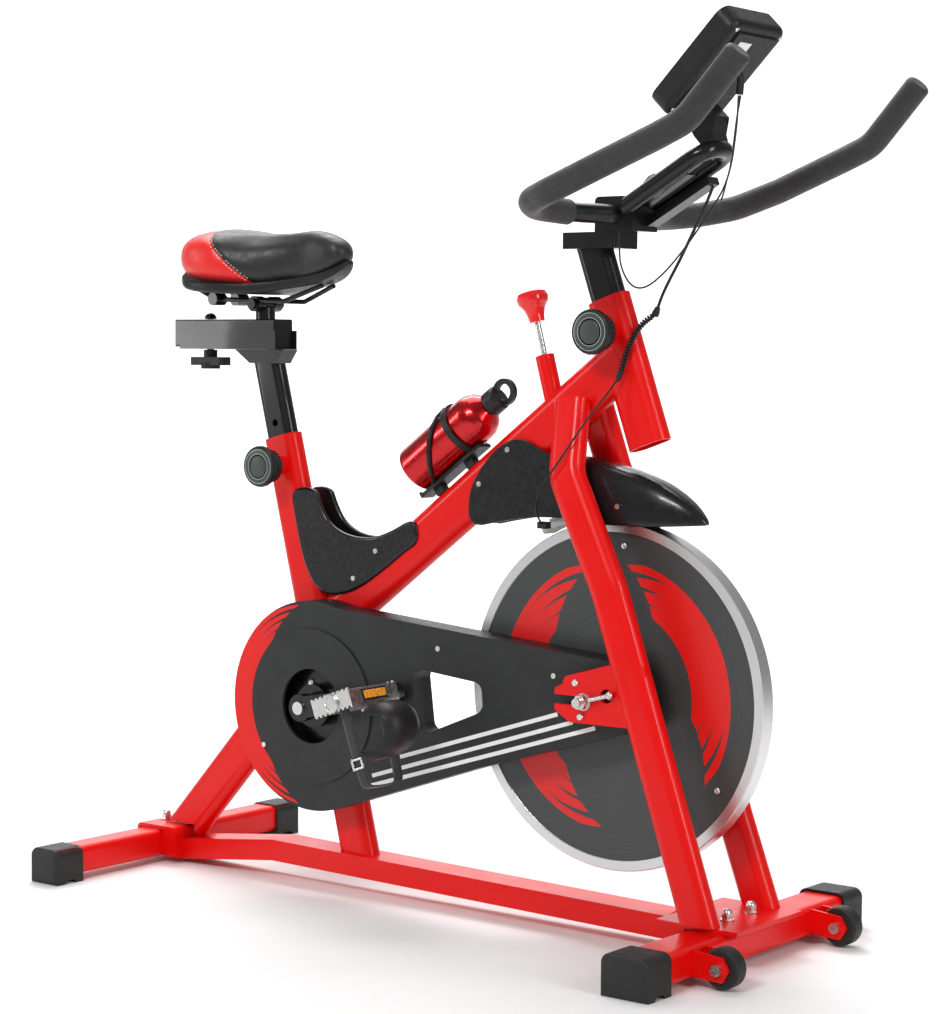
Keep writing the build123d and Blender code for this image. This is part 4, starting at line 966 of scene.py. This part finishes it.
def console_details():
    tiles = [console_tile("screen", -39, 39, 51, 105, -0.9, -0.35, SCREEN, 0.3)]
    for row, (up, size) in enumerate(((84, 16), (59, 11))):
        for k, lit in enumerate(("abcdef", "abged", "abgcd", "fgbc")):
            tiles += digit(31 - 17 * k, up, size, lit if row == 0 else lit[::-1][:4])
    attach(join("console_display", tiles), "handlebar", "lens")
    back = [console_tile("ridge", -44, 44, 44, 138, -35.2, -31.5, BLACK_PLASTIC, 3.0)]
    back.append(console_tile("label", -30, -4, 100, 126, -35.7, -35.1, LABEL, 0.25))
    for y, up in ((-50, 12), (50, 12), (-50, 140), (50, 140)):
        ends = [[1000 * v for v in console_at(y, up, out)] for out in (-31.8, -33.2)]
        back.append(lathe_along("screw", *[(x - SHIFT_X, w, z) for x, w, z in ends],
                                [(0, 3), (0.6, 3), (1, 2.1), (0.9, 0.8)], ZINC))
    attach(join("console_back_trim", back), "handlebar", "black_plastic")


def screen_material():
    s = Shader("screen", (0.33, 0.38, 0.33), 0.18, coat=0.5)
    s.tint(s.spread(s.noise(30, 2), 0.0, 0.3), (0.28, 0.33, 0.29))
    s.bump(s.noise(900, 2), 0.05, 0.0001)
    return s.material


WHITE_ZINC = steel("bright_zinc", (0.86, 0.86, 0.85), 0.34).material
TRAY_GREY = plastic("tray_grey", (0.20, 0.20, 0.20), 0.45, 1400, 0.08).material
LABEL = plastic("label", (0.74, 0.74, 0.72), 0.5, 1800, 0.03).material
DIGIT = plastic("digit", (0.02, 0.022, 0.02), 0.4, 1800, 0.03).material
SCREEN = screen_material()
CONSOLE_X, CONSOLE_Z = 76, 1066
console_details()
screw_group("dropout_screws", "frame", "zinc_steel",
            [(x, z, 75, side, 4.6, 4.2) for side in (-1, 1) for x, z in ((-13.4, 336.9), (-5.1, 294.4))])
screw_group("wheel_screws", "flywheel", "zinc_steel",
            [(x, z, 12.3, side, 4.0, 1.6) for side in (-1, 1) for x, z in ((16, 508.6), (160, 210.5))])
screw_group("pulley_screw", "crank", "zinc_steel", [(-490, 291, 38, -1, 6.0, 5.0)])
tray = slab("hub_tray", [(25, 940), (25, 949), (49, 975), (57, 978), (96, 978), (64, 950)], -17.6, -13.5, TRAY_GREY, 1.0)
attach(tray, "handlebar", "black_plastic")


# ---- Floor and light ------------------------------------------------------------------------------------
def make_floor():
    """Pale floor that curves up into a plain wall far behind."""
    s = Shader("floor", (0.88, 0.88, 0.88), 0.7)
    s.rough(s.spread(s.noise(12, 3), 0.64, 0.76))
    bm = bmesh.new()
    profile = [(-9, 0), (4, 0)] + [(4 + 3 * math.sin(a), 3 - 3 * math.cos(a))
                                   for a in (math.radians(9 * k) for k in range(1, 11))] + [(7, 9)]
    away = Matrix.Rotation(math.radians(37.8), 4, "Z")
    rows = [[bm.verts.new(away @ Vector((x, y, z))) for x in (-11, 11)] for y, z in profile]
    for a, b in zip(rows, rows[1:]):
        bm.faces.new((a[0], a[1], b[1], b[0]))
    floor = mesh_object("floor", bm, s.material, sharp=60)


def area(name, place, target, size, energy, size_y=None):
    data = bpy.data.lights.new(name, "AREA")
    data.shape, data.size, data.size_y = "RECTANGLE", size, size_y or size
    data.energy = energy
    lamp = put(bpy.data.objects.new(name, data))
    lamp.location = place
    lamp.rotation_euler = (Vector(target) - Vector(place)).to_track_quat("-Z", "Y").to_euler()


def make_light():
    world = bpy.data.worlds.new("studio")
    world.use_nodes = True
    world.node_tree.nodes["Background"].inputs[0].default_value = (1, 1, 1, 1)
    world.node_tree.nodes["Background"].inputs[1].default_value = 0.24
    SCENE.world = world
    area("key", (0.6, -3.4, 3.0), (-0.1, 0, 0.4), 1.2, 70, 0.7)
    area("side", (3.2, -0.6, 1.6), (0, 0, 0.6), 0.5, 34, 1.8)
    area("top", (-0.8, 0.9, 3.2), (0, 0.4, 0), 2.4, 75)
    area("low", (-2.8, -2.2, 1.3), (-0.2, 0, 0.5), 0.5, 24, 1.6)
    area("wall", (-3.0, 2.0, 4.5), (-3.4, 5.6, 1.4), 3.0, 330)


make_floor()
make_light()
